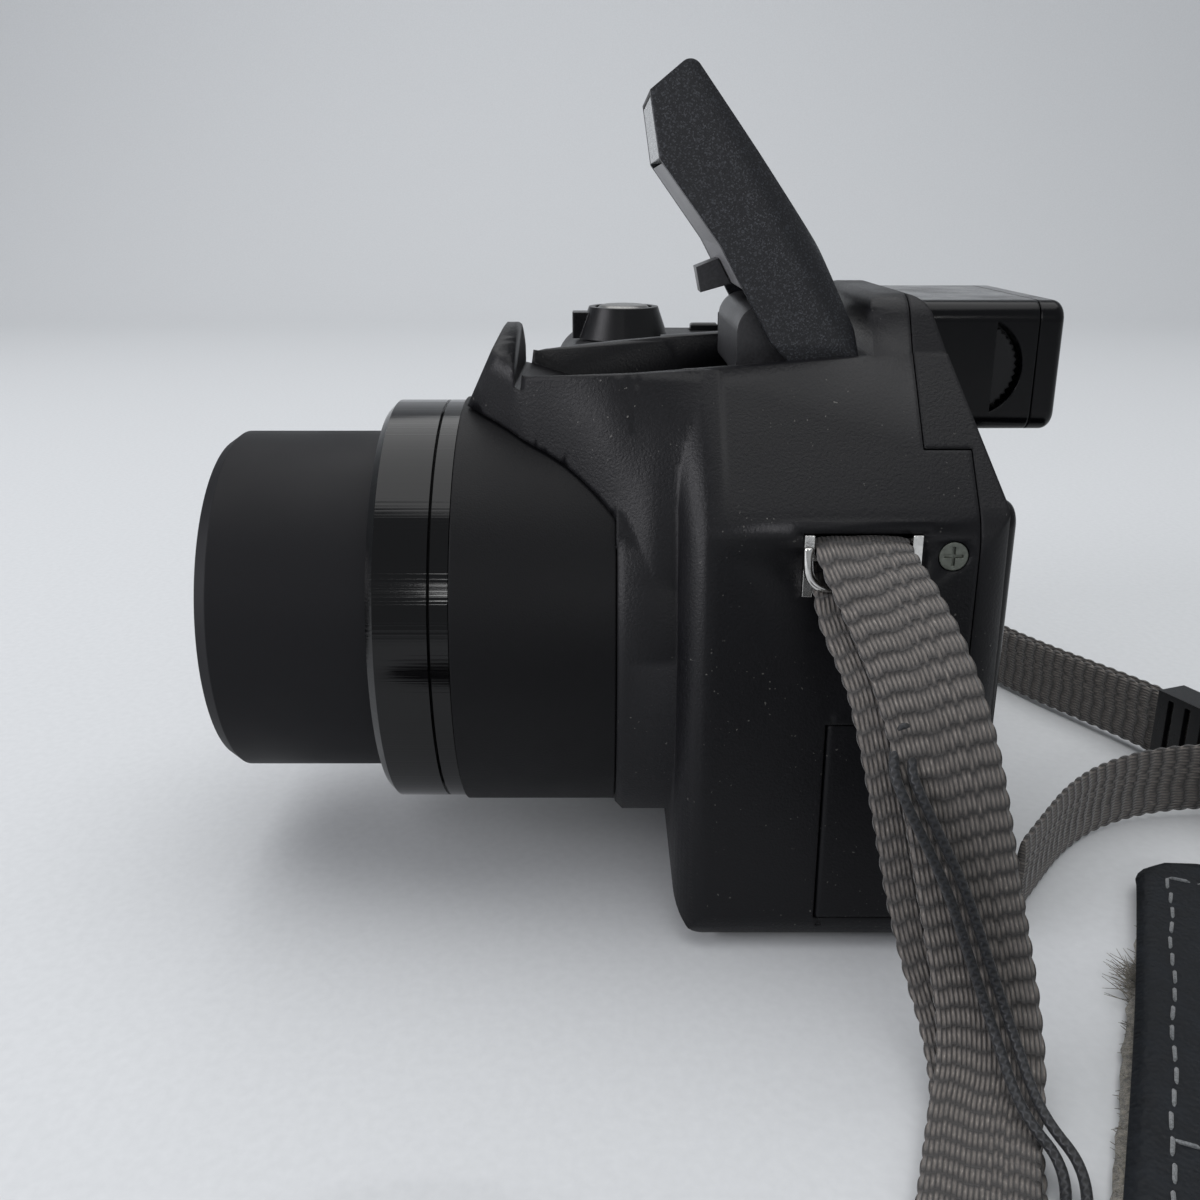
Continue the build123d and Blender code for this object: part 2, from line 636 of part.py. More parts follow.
def build_case():
    """Front cover, rear cover, top plate and base plate, cut from one hollow form."""
    outer = main_form() + grip_form() + rear_hump_form() + hump_form() + bulge_form()
    room = main_form(WALL) + grip_form(WALL) + rear_hump_form(WALL)
    case = outer - room
    case += (trough_form(THIN_WALL) & outer)
    for side in (1, -1):
        case += lug_pocket(side, THIN_WALL)
    case -= trough_form()
    case -= turned([(HUMP_NOSE_Y - OVERRUN, 0), (HUMP_NOSE_Y - OVERRUN, BARREL_RADIUS + RUNNING_GAP),
                    (BULGE_FRONT, BARREL_RADIUS + RUNNING_GAP),
                    (BULGE_FRONT, BARREL_NECK_RADIUS + RUNNING_GAP),
                    (BODY_FRONT + WALL + FIT, BARREL_NECK_RADIUS + RUNNING_GAP),
                    (BODY_FRONT + WALL + FIT, 0)])
    for side in (1, -1):
        case -= lug_pocket(side)
    case -= rod_x(HINGE_PIN_RADIUS + FIT / 2, -RIM_HALF, RIM_HALF, HINGE_Y, HINGE_Z)
    case -= rod_x(SCREW_RADIUS + FIT, LEFT_WIDTH - SCREW_HEAD, LEFT_WIDTH + OVERRUN, SCREW_Y, SCREW_Z)
    for hole in control_holes():
        case -= hole
    evf_hole = along_y(rectangle(-EVF_HALF - FIT, EVF_HALF + FIT, EVF_BOTTOM_Z - FIT,
                                 EVF_TOP_Z + FIT, EVF_EDGE),
                       EVF_FRONT - FIT, EVF_REAR)
    lcd_hole = along_y(rectangle(LCD_LEFT - LCD_WIDTH - FIT, LCD_LEFT + FIT, LCD_BOTTOM_Z - FIT,
                                 LCD_TOP_Z + FIT,
                                 LCD_CORNER), LCD_FRONT - FIT, LCD_REAR)
    rear = ((case & rear_region()) - evf_hole) - lcd_hole
    deck = case & deck_region()
    base = (case + base_region()) & base_region() & outer
    front = case - rear_region(FIT) - deck_region(FIT) - base_region(FIT)
    front = front - terminal_region(FIT) - evf_hole
    return front, rear, deck, base, outer


def skin_region(gap=0):
    """Where the rubber skin wraps the nose of the grip."""
    skin = grip_form() - grip_form(GRIP_SKIN + gap)
    return skin & box(RIGHT_X - OVERRUN, GRIP_LEFT + OVERRUN, GRIP_FRONT - OVERRUN, GRIP_SKIN_BACK + gap,
                      GRIP_SKIN_LOW - gap, GRIP_SKIN_HIGH + gap)


def toothed(radius, depth, teeth):
    """A disc outline with a pointed rib for each tooth."""
    points = []
    for i in range(2 * teeth):
        reach = radius - depth * (i % 2)
        angle = math.pi * i / teeth
        points.append((reach * math.cos(angle), reach * math.sin(angle)))
    return outline(points)


def lens_parts():
    """Barrel, rings, running tube, glass and the parts behind them, front to back."""
    barrel = turned([
        (RING_FRONT + RING_EDGE, BARREL_BORE), (RING_FRONT + RING_EDGE, SPIGOT_RADIUS),
        (BARREL_FRONT, SPIGOT_RADIUS),
        (BARREL_FRONT, BARREL_RADIUS), (BULGE_FRONT - FIT, BARREL_RADIUS),
        (BULGE_FRONT - FIT, BARREL_NECK_RADIUS),
        (BARREL_REAR, BARREL_NECK_RADIUS), (BARREL_REAR, BARREL_BORE)])
    collar = SPIGOT_RADIUS + FIT / 2
    front_ring = turned([
        (RING_FRONT, BARREL_BORE), (RING_FRONT, RING_RADIUS - RING_EDGE),
        (RING_FRONT + RING_EDGE, RING_RADIUS),
        (RING_SPLIT, RING_RADIUS), (RING_SPLIT, collar), (RING_FRONT + RING_EDGE - FIT, collar),
        (RING_FRONT + RING_EDGE - FIT, BARREL_BORE)])
    rear_ring = tube_y(RING_RADIUS, collar, RING_SPLIT + RING_GROOVE, BARREL_FRONT - FIT)
    bore = TUBE_RADIUS - TUBE_WALL
    bezel_back = TUBE_TIP + BEZEL_DEPTH
    cell_front = bezel_back + FRONT_LENS_EDGE + FIT
    tube = turned([
        (TUBE_TIP, bore), (TUBE_TIP, TUBE_RADIUS - TUBE_CHAMFER_DEPTH),
        (TUBE_TIP + TUBE_CHAMFER_LENGTH, TUBE_RADIUS),
        (TUBE_REAR, TUBE_RADIUS), (TUBE_REAR, bore), (cell_front + CELL_THICKNESS, bore),
        (cell_front + CELL_THICKNESS, ZOOM_LENS_RADIUS + WALL), (cell_front, FRONT_LENS_RADIUS - WALL),
        (cell_front, bore)])
    bezel = turned([
        (TUBE_TIP + CORNER_MIN, bore - FIT / 2), (TUBE_TIP + CORNER_MIN, bore - WALL / 2),
        (bezel_back - WALL, BEZEL_OPENING),
        (bezel_back, BEZEL_OPENING), (bezel_back, bore - FIT / 2)])
    front_lens = lens_y(FRONT_LENS_RADIUS, FRONT_LENS_EDGE, FRONT_LENS_CROWN, bezel_back + FIT / 2)
    front_lens += tube_y(bore - FIT, FRONT_LENS_RADIUS - CORNER_MIN, bezel_back + FIT, cell_front - FIT)
    zoom_cell = tube_y(ZOOM_CELL_RADIUS, ZOOM_LENS_RADIUS, ZOOM_CELL_FRONT,
                       ZOOM_CELL_FRONT + CELL_THICKNESS)
    ear = ROD_OFFSET + ROD_RADIUS + WALL / 3
    for side in (1, -1):
        x0, x1 = sorted((side * (ZOOM_CELL_RADIUS - WALL), side * ear))
        zoom_cell += box(x0, x1, ZOOM_CELL_FRONT, ZOOM_CELL_FRONT + CELL_THICKNESS, LENS_Z - WALL,
                         LENS_Z + WALL)
        zoom_cell -= rod_y(ROD_RADIUS + FIT / 2, ZOOM_CELL_FRONT - OVERRUN,
                           ZOOM_CELL_FRONT + CELL_THICKNESS + OVERRUN,
                           side * ROD_OFFSET, LENS_Z)
    zoom_cell += lens_y(ZOOM_LENS_RADIUS + CORNER_MIN, CELL_THICKNESS - ZOOM_LENS_CROWN, ZOOM_LENS_CROWN,
                        ZOOM_CELL_FRONT + ZOOM_LENS_CROWN)
    bore_in = CHASSIS_RADIUS - CHASSIS_WALL
    chassis = turned([
        (BARREL_REAR + FIT, bore_in), (BARREL_REAR + FIT, BARREL_NECK_RADIUS),
        (BARREL_REAR + CHASSIS_PLATE, BARREL_NECK_RADIUS),
        (BARREL_REAR + CHASSIS_PLATE, CHASSIS_RADIUS), (CHASSIS_REAR, CHASSIS_RADIUS), (CHASSIS_REAR, 0),
        (CHASSIS_REAR - THIN_WALL, 0), (CHASSIS_REAR - THIN_WALL, bore_in)])
    chassis -= box(-RING_RADIUS, RING_RADIUS, BARREL_REAR - OVERRUN, CHASSIS_REAR,
                   WELL_FLOOR_Z - THIN_WALL - FIT, CASE_TOP)
    chassis -= box(-SENSOR_WIDTH / 2 + WALL, SENSOR_WIDTH / 2 - WALL, 0, CHASSIS_REAR + OVERRUN,
                   LENS_Z - SENSOR_HEIGHT / 2 + WALL, LENS_Z + SENSOR_HEIGHT / 2 - WALL)
    for side in (1, -1):
        chassis += rod_y(ROD_RADIUS, ROD_FRONT, BARREL_REAR + FIT, side * ROD_OFFSET, LENS_Z)
    cell_radius = bore_in - RUNNING_GAP
    stabiliser = tube_y(cell_radius, STABILISER_LENS_RADIUS, STABILISER_FRONT,
                        STABILISER_FRONT + STABILISER_THICKNESS)
    stabiliser += lens_y(STABILISER_LENS_RADIUS + CORNER_MIN, STABILISER_THICKNESS - WALL, WALL / 2,
                         STABILISER_FRONT + WALL / 2)
    iris = tube_y(bore_in - FIT, IRIS_OPENING, IRIS_FRONT, IRIS_FRONT + IRIS_THICKNESS)
    focus = tube_y(cell_radius + FIT, FOCUS_LENS_RADIUS, FOCUS_FRONT, FOCUS_FRONT + FOCUS_THICKNESS)
    focus += lens_y(FOCUS_LENS_RADIUS + CORNER_MIN, FOCUS_THICKNESS - THIN_WALL, THIN_WALL / 2,
                    FOCUS_FRONT + THIN_WALL / 2)
    sensor_back = CHASSIS_REAR + FIT + SENSOR_THICKNESS
    sensor = box(-SENSOR_WIDTH / 2, SENSOR_WIDTH / 2, CHASSIS_REAR + FIT, sensor_back,
                 LENS_Z - SENSOR_HEIGHT / 2, LENS_Z + SENSOR_HEIGHT / 2)
    sensor += box(-SENSOR_BOARD_WIDTH / 2, SENSOR_BOARD_WIDTH / 2, sensor_back,
                  sensor_back + BOARD_THICKNESS,
                  LENS_Z - SENSOR_BOARD_HEIGHT / 2, LENS_Z + SENSOR_BOARD_HEIGHT / 2)
    return {
        "fixed_barrel": barrel, "front_ring": front_ring, "rear_ring": rear_ring, "zoom_tube": tube,
        "lens_bezel": bezel, "front_lens": front_lens, "zoom_lens_group": zoom_cell,
        "lens_chassis": chassis,
        "stabiliser_lens": stabiliser, "iris_shutter": iris, "focus_lens": focus, "image_sensor": sensor}


def head_outline():
    foot_front, foot_back = HINGE_Y - HEAD_FOOT_RADIUS, HINGE_Y + HEAD_FOOT_RADIUS
    foot_z = HINGE_Z - HEAD_FOOT_RADIUS
    return outline(
        [(HEAD_TIP_Y, HEAD_TIP_Z), (HEAD_BROW_Y, HEAD_BROW_Z), (HEAD_CHIN_Y, HEAD_CHIN_Z),
         (HEAD_KNEE_Y, HEAD_KNEE_Z),
         (HEAD_SHIN_Y, HEAD_SHIN_Z), (foot_front, foot_z), (foot_back, foot_z), (HEAD_HEEL_Y, HEAD_HEEL_Z),
         (HEAD_BEND_Y, HEAD_BEND_Z), (HEAD_BACK_Y, HEAD_BACK_Z)],
        [HEAD_SKIN, 0, 0, HEAD_SKIN, 0, HEAD_FOOT_RADIUS - CORNER_MIN,
         HEAD_FOOT_RADIUS - CORNER_MIN, HEAD_SKIN, DECK_EDGE, DECK_EDGE])


def head_face(inset=0):
    """The flash head from the front: a taper from the foot up to the tip."""
    foot_z = HINGE_Z - HEAD_FOOT_RADIUS - OVERRUN
    foot, tip, top = HEAD_HALF_FOOT - inset, HEAD_HALF_TIP - inset, HEAD_TIP_Z + CORNER_MIN
    return outline([(-foot, foot_z), (foot, foot_z), (foot, HINGE_Z + HEAD_FOOT_RADIUS), (tip, top),
                    (-tip, top),
                    (-foot, HINGE_Z + HEAD_FOOT_RADIUS)])


def flash_parts():
    """The raised flash: its head, window, lamp, hinge knuckle, pin and latch hook."""
    side = head_outline()
    reach_front, reach_back = HEAD_BROW_Y - 2 * OVERRUN, HINGE_Y + HEAD_FOOT_RADIUS + OVERRUN
    solid = along_x(side, -HEAD_HALF_FOOT, HEAD_HALF_FOOT) & along_y(head_face(), reach_front, reach_back)
    solid &= head_crown()
    inner = offset(side, -HEAD_SKIN)
    cavity = inner + Location((-2 * HEAD_SKIN, -HEAD_SKIN)) * inner
    room = (along_x(cavity, -HEAD_HALF_FOOT, HEAD_HALF_FOOT)
            & along_y(head_face(HEAD_ARM), reach_front, reach_back))
    head = solid - room
    head -= rod_x(HINGE_PIN_RADIUS + FIT / 2, -HEAD_HALF_FOOT - OVERRUN, HEAD_HALF_FOOT + OVERRUN,
                  HINGE_Y, HINGE_Z)
    inside = along_y(head_face(HEAD_ARM + FIT), reach_front, reach_back)
    rim = along_x(side - offset(side, -UNDERSIDE_THICKNESS), -HEAD_HALF_FOOT, HEAD_HALF_FOOT) & inside
    under_region = along_x(outline([
        (HEAD_CHIN_Y - OVERRUN, HEAD_CHIN_Z - OVERRUN / 2), (HEAD_CHIN_Y + OVERRUN, HEAD_CHIN_Z),
        (HEAD_KNEE_Y + OVERRUN, HEAD_KNEE_Z),
        (HEAD_SHIN_Y + OVERRUN / 2, HEAD_SHIN_Z + KNUCKLE_RISE - OVERRUN / 2),
        (HEAD_SHIN_Y - 2 * OVERRUN, HEAD_SHIN_Z + KNUCKLE_RISE - OVERRUN / 2),
        (HEAD_CHIN_Y - OVERRUN, HEAD_KNEE_Z)]), -HEAD_HALF_FOOT, HEAD_HALF_FOOT)
    underside = rim & under_region
    pane = along_x(side - offset(side, -WINDOW_THICKNESS), -HEAD_HALF_FOOT, HEAD_HALF_FOOT) & inside
    window = pane & box(-HEAD_HALF_FOOT, HEAD_HALF_FOOT, reach_front, HEAD_CHIN_Y + OVERRUN,
                        HEAD_CHIN_Z + FIT, HEAD_BROW_Z - 2 * CORNER_MIN)
    head -= along_x(side - offset(side, -WINDOW_THICKNESS - FIT), -HEAD_HALF_FOOT,
                    HEAD_HALF_FOOT) & along_y(
        head_face(HEAD_ARM), reach_front, HEAD_CHIN_Y + OVERRUN) & box(
        -HEAD_HALF_FOOT, HEAD_HALF_FOOT, reach_front, HINGE_Y, HEAD_CHIN_Z, HEAD_BROW_Z - CORNER_MIN)
    lamp_y = HEAD_CHIN_Y + WINDOW_THICKNESS + CORNER_MIN
    low, high = HEAD_CHIN_Z + CORNER_MIN, HEAD_BROW_Z - 3 * CORNER_MIN
    bowl = outline([(lamp_y, low), (lamp_y + REFLECTOR_DEPTH, low + WALL),
                    (lamp_y + REFLECTOR_DEPTH, high - WALL), (lamp_y, high)])
    hollow = outline([(lamp_y - OVERRUN, low + CORNER_MIN), (lamp_y, low + CORNER_MIN),
                      (lamp_y + REFLECTOR_DEPTH - CORNER_MIN, low + WALL + CORNER_MIN),
                      (lamp_y + REFLECTOR_DEPTH - CORNER_MIN, high - WALL - CORNER_MIN),
                      (lamp_y, high - CORNER_MIN),
                      (lamp_y - OVERRUN, high - CORNER_MIN)])
    half = HEAD_HALF_TIP - HEAD_ARM - FIT
    reflector = along_x(bowl, -half, half) - along_x(hollow, -half + CORNER_MIN, half - CORNER_MIN)
    flash_tube = rod_x(FLASH_TUBE_RADIUS, -half + 2 * CORNER_MIN, half - 2 * CORNER_MIN,
                       lamp_y + REFLECTOR_DEPTH / 2, (low + high) / 2)
    front, back = HINGE_Y - KNUCKLE_REACH, HINGE_Y + HEAD_FOOT_RADIUS - 2 * CORNER_MIN
    drop, rise = HINGE_Z - KNUCKLE_DROP, HINGE_Z + KNUCKLE_RISE
    drum = outline(
        [(front, drop), (back, drop), (HEAD_HEEL_Y - CORNER_MIN, HINGE_Z + HEAD_FOOT_RADIUS),
         (HINGE_Y - KNUCKLE_DROP, rise), (front, rise)],
        [THIN_WALL, KNUCKLE_DROP - CORNER_MIN, CORNER_MIN, CORNER_MIN, KNUCKLE_EDGE])
    head -= along_x(offset(drum, FIT), -KNUCKLE_HALF - FIT, KNUCKLE_HALF + FIT)
    head -= box(-KNUCKLE_HALF - FIT, KNUCKLE_HALF + FIT, HINGE_Y, HINGE_Y + 2 * HEAD_FOOT_RADIUS,
                HINGE_Z - 2 * HEAD_FOOT_RADIUS, HINGE_Z + HEAD_FOOT_RADIUS)
    knuckle = along_x(drum, -KNUCKLE_HALF, KNUCKLE_HALF)
    knuckle -= rod_x(HINGE_PIN_RADIUS + FIT / 2, -HEAD_HALF_FOOT, HEAD_HALF_FOOT, HINGE_Y, HINGE_Z)
    pin = rod_x(HINGE_PIN_RADIUS, -RIM_HALF + CORNER_MIN, RIM_HALF - CORNER_MIN, HINGE_Y, HINGE_Z)
    slope = (HEAD_SHIN_Y - HEAD_KNEE_Y) / (HEAD_KNEE_Z - HEAD_SHIN_Z)
    root_y = HEAD_KNEE_Y + slope * (HEAD_KNEE_Z - HOOK_ROOT_Z) - FIT
    low_y = HEAD_KNEE_Y + slope * (HEAD_KNEE_Z - HOOK_ROOT_Z + HOOK_HEIGHT) - FIT
    hook = along_x(outline([
        (root_y, HOOK_ROOT_Z), (root_y - HOOK_REACH, HOOK_ROOT_Z - HOOK_DROP),
        (low_y - HOOK_REACH - HOOK_DROP, HOOK_ROOT_Z - HOOK_HEIGHT - HOOK_DROP),
        (low_y, HOOK_ROOT_Z - HOOK_HEIGHT)]),
        -HOOK_HALF, HOOK_HALF)
    return {
        "flash_head": head, "flash_underside": underside, "flash_window": window,
        "flash_reflector": reflector,
        "flash_tube": flash_tube, "flash_knuckle": knuckle, "flash_hinge_pin": pin,
        "flash_latch_hook": hook}


def head_crown():
    """The round back of the flash head: a leaning taper whose two rear corners are rounded."""
    lean = Vector(0, HEAD_BACK_Y - HEAD_HEEL_Y, HEAD_BACK_Z - HEAD_HEEL_Z).normalized()
    square = Vector(0, lean.Z, -lean.Y)
    back = Vector(0, HEAD_HEEL_Y, HEAD_HEEL_Z) + square * HEAD_CROWN_OUT
    depth = HEAD_BROW_Z - HINGE_Z
    foot_z = HINGE_Z + HEAD_FOOT_RADIUS
    taper = (HEAD_HALF_FOOT - HEAD_HALF_TIP) / (HEAD_TIP_Z - foot_z)
    sections = []
    for z in (HINGE_Z - KNUCKLE_REACH, HEAD_TIP_Z + KNUCKLE_REACH):
        start = back + lean * ((z - back.Z) / lean.Z)
        half = HEAD_HALF_FOOT - taper * (z - foot_z)
        plan = outline([(-half, 0), (half, 0), (half + OVERRUN, -depth), (-half - OVERRUN, -depth)],
                       [HEAD_CROWN_EDGE, HEAD_CROWN_EDGE, 0, 0])
        sections.append(Plane(origin=start, x_dir=(1, 0, 0),
                              z_dir=square.cross(Vector(1, 0, 0)) * -1) * plan)
    return loft(sections, ruled=True)


def viewfinder_parts():
    """The eyepiece block with its lens, its little screen and the diopter wheel."""
    face = rectangle(-EVF_HALF, EVF_HALF, EVF_BOTTOM_Z, EVF_TOP_Z, EVF_EDGE)
    room = rectangle(-EVF_ROOM_HALF, EVF_ROOM_HALF, EVF_BOTTOM_Z + WALL, EVF_TOP_Z - WALL, THIN_WALL)
    housing = along_y(face, EVF_FRONT, EVF_SPLIT) - along_y(room, EVF_FRONT + WALL, EVF_SPLIT + OVERRUN)
    wheel_out = EVF_HALF - DIOPTER_SKIN - FIT
    wheel_in = wheel_out - DIOPTER_THICKNESS
    housing -= rod_x(DIOPTER_RADIUS + RUNNING_GAP, wheel_in - FIT, wheel_out + FIT, DIOPTER_Y, DIOPTER_Z)
    crescent = rod_x(DIOPTER_RADIUS + RUNNING_GAP, wheel_out, EVF_HALF + OVERRUN, DIOPTER_Y, DIOPTER_Z)
    crescent -= box(0, EVF_HALF + 2 * OVERRUN, 0, DIOPTER_WINDOW_Y, EVF_BOTTOM_Z, EVF_TOP_Z)
    housing -= crescent
    housing -= rod_x(DIOPTER_AXLE + FIT / 2, EVF_ROOM_HALF - OVERRUN, wheel_in, DIOPTER_Y, DIOPTER_Z)
    wheel = along_x(Location((DIOPTER_Y, DIOPTER_Z))
                    * toothed(DIOPTER_RADIUS, CORNER_MIN, DIOPTER_TEETH), wheel_in, wheel_out)
    wheel += rod_x(DIOPTER_AXLE, EVF_ROOM_HALF + FIT, wheel_in, DIOPTER_Y, DIOPTER_Z)
    frame = along_y(face, EVF_SPLIT + FIT, EVF_REAR)
    frame = fillet(frame.faces().sort_by(Axis.Y)[-1].edges(), THIN_WALL)
    mid_z = (EVF_BOTTOM_Z + EVF_TOP_Z) / 2
    opening = rectangle(-EYEPIECE_HALF, EYEPIECE_HALF, mid_z - EYEPIECE_HEIGHT / 2,
                        mid_z + EYEPIECE_HEIGHT / 2, WALL)
    frame -= along_y(opening, EVF_SPLIT - OVERRUN, EVF_REAR + OVERRUN)
    seat = EVF_SPLIT - EYELENS_THICKNESS
    eyelens = along_y(offset(room, -FIT / 2), seat, EVF_SPLIT)
    display = along_y(offset(room, -FIT / 2), EVF_FRONT + WALL + FIT,
                      EVF_FRONT + WALL + FIT + DISPLAY_THICKNESS)
    return {"viewfinder_housing": housing, "diopter_wheel": wheel, "eyepiece_frame": frame,
            "eyepiece_lens": eyelens, "viewfinder_display": display}


def screen_parts():
    left, right = LCD_LEFT, LCD_LEFT - LCD_WIDTH
    module = along_y(rectangle(right, left, LCD_BOTTOM_Z, LCD_TOP_Z, LCD_CORNER), LCD_FRONT, LCD_REAR)
    module = fillet(module.faces().sort_by(Axis.Y)[-1].edges(), THIN_WALL)
    glass_outline = rectangle(right + LCD_BORDER, left - LCD_BORDER, LCD_BOTTOM_Z + LCD_BORDER,
                              LCD_TOP_Z - LCD_BORDER,
                              THIN_WALL)
    module -= along_y(glass_outline, LCD_REAR - LCD_GLASS - FIT, LCD_REAR + OVERRUN)
    glass = along_y(offset(glass_outline, -FIT / 2), LCD_REAR - LCD_GLASS, LCD_REAR - FIT / 2)
    return {"lcd_module": module, "lcd_window": glass}


def push_button(radius, x, y):
    """A round button in the deck, its collar held under the plate."""
    top = DECK_Z + BUTTON_PROUD
    collar_top = DECK_Z - WALL - BUTTON_TRAVEL / 4
    button = rod_z(radius, collar_top - FIT, top, x, y)
    button = chamfer(button.faces().sort_by(Axis.Z)[-1].edges(), CORNER_MIN)
    return button + rod_z(radius + WALL / 2, collar_top - THIN_WALL, collar_top, x, y)


def rear_y(z):
    """The back of the case leans a little: its place at a height."""
    share = z / REAR_SHOULDER_Z
    return BODY_REAR_LOW + (BODY_REAR_TOP - BODY_REAR_LOW) * share


def back_button(radius, x, z, proud):
    """A round button in the back cover, its collar held inside the wall."""
    face = rear_y(z)
    inner = face - WALL - BUTTON_TRAVEL / 2
    button = rod_y(radius, inner - FIT, face + proud, x, z)
    button = chamfer(button.faces().sort_by(Axis.Y)[-1].edges(), CORNER_MIN)
    return button + rod_y(radius + WALL / 2, inner - THIN_WALL, inner, x, z)


def control_parts():
    parts = {}
    lever_base = DECK_Z + FIT
    lever = Location((SHUTTER_X, SHUTTER_Y, lever_base)) * Solid.make_cone(
        LEVER_BASE_RADIUS, LEVER_TOP_RADIUS, LEVER_HEIGHT, plane=Plane.XY)
    tab = outline([(-LEVER_TAB, 0), (LEVER_TAB, 0), (LEVER_TAB, -LEVER_BASE_RADIUS - LEVER_TAB / 2),
                   (-LEVER_TAB, -LEVER_BASE_RADIUS - LEVER_TAB / 2)], [0, 0, CORNER_MIN, CORNER_MIN])
    lever += along_z(Location((SHUTTER_X, SHUTTER_Y)) * tab, lever_base,
                     lever_base + LEVER_HEIGHT - WALL / 2)
    lever -= rod_z(LEVER_DISH, lever_base - OVERRUN, lever_base + LEVER_HEIGHT + OVERRUN, SHUTTER_X,
                   SHUTTER_Y)
    parts["zoom_lever"] = lever
    button_top = lever_base + LEVER_HEIGHT + CORNER_MIN
    button = rod_z(SHUTTER_RADIUS, DECK_Z + SHUTTER_TRAVEL + FIT, button_top, SHUTTER_X, SHUTTER_Y)
    button = fillet(button.faces().sort_by(Axis.Z)[-1].edges(), THIN_WALL)
    button += rod_z(SHUTTER_RADIUS - WALL, DECK_Z - WALL - CORNER_MIN, DECK_Z + OVERRUN, SHUTTER_X,
                    SHUTTER_Y)
    parts["shutter_button"] = button
    dial = along_z(Location((DIAL_X, DIAL_Y)) * toothed(DIAL_RADIUS, DIAL_RIB_DEPTH, DIAL_RIBS),
                   DECK_Z + FIT, DECK_Z + DIAL_HEIGHT - THIN_WALL)
    cap = rod_z(DIAL_RADIUS - DIAL_RIB_DEPTH, DECK_Z + DIAL_HEIGHT - THIN_WALL,
                DECK_Z + DIAL_HEIGHT, DIAL_X, DIAL_Y)
    dial += chamfer(cap.faces().sort_by(Axis.Z)[-1].edges(), CORNER_MIN)
    parts["mode_dial"] = dial + rod_z(DIAL_RADIUS / 3, DECK_Z - WALL - CORNER_MIN, DECK_Z + OVERRUN,
                                      DIAL_X, DIAL_Y)
    switch = box(SWITCH_X - SWITCH_WIDTH / 2, SWITCH_X + SWITCH_WIDTH / 2, SWITCH_Y - SWITCH_LENGTH / 2,
                 SWITCH_Y + SWITCH_LENGTH / 2, DECK_Z - WALL - CORNER_MIN, DECK_Z + THIN_WALL)
    parts["power_switch"] = chamfer(switch.faces().sort_by(Axis.Z)[-1].edges(), CORNER_MIN)
    parts["burst_button"] = push_button(SMALL_BUTTON_RADIUS, BURST_X, BURST_Y)
    parts["flash_button"] = push_button(SMALL_BUTTON_RADIUS, FLASH_BUTTON_X, FLASH_BUTTON_Y)
    pad_front = rear_y(PAD_Z) - PAD_THICKNESS
    pad = rod_y(PAD_RADIUS, pad_front, rear_y(PAD_Z) + BUTTON_PROUD, PAD_X, PAD_Z)
    pad = fillet(pad.faces().sort_by(Axis.Y)[-1].edges(), CORNER_MIN)
    pad += rod_x(PAD_PIVOT_RADIUS, PAD_X - PAD_RADIUS - CORNER_MIN, PAD_X + PAD_RADIUS + CORNER_MIN,
                 PAD_PIVOT_Y, PAD_Z)
    parts["four_way_pad"] = pad - rod_y(PAD_HOLE, pad_front - OVERRUN, LCD_REAR + OVERRUN, PAD_X, PAD_Z)
    menu = rod_y(MENU_RADIUS, pad_front - CORNER_MIN, rear_y(PAD_Z) + BUTTON_PROUD + FIT, PAD_X, PAD_Z)
    parts["menu_button"] = chamfer(menu.faces().sort_by(Axis.Y)[-1].edges(), CORNER_MIN)
    parts["display_button"] = back_button(SMALL_BUTTON_RADIUS, REAR_BUTTON_X + REAR_BUTTON_SPREAD,
                                          REAR_BUTTON_Z, BUTTON_PROUD)
    parts["delete_button"] = back_button(SMALL_BUTTON_RADIUS, REAR_BUTTON_X - REAR_BUTTON_SPREAD,
                                         REAR_BUTTON_Z, BUTTON_PROUD)
    return parts


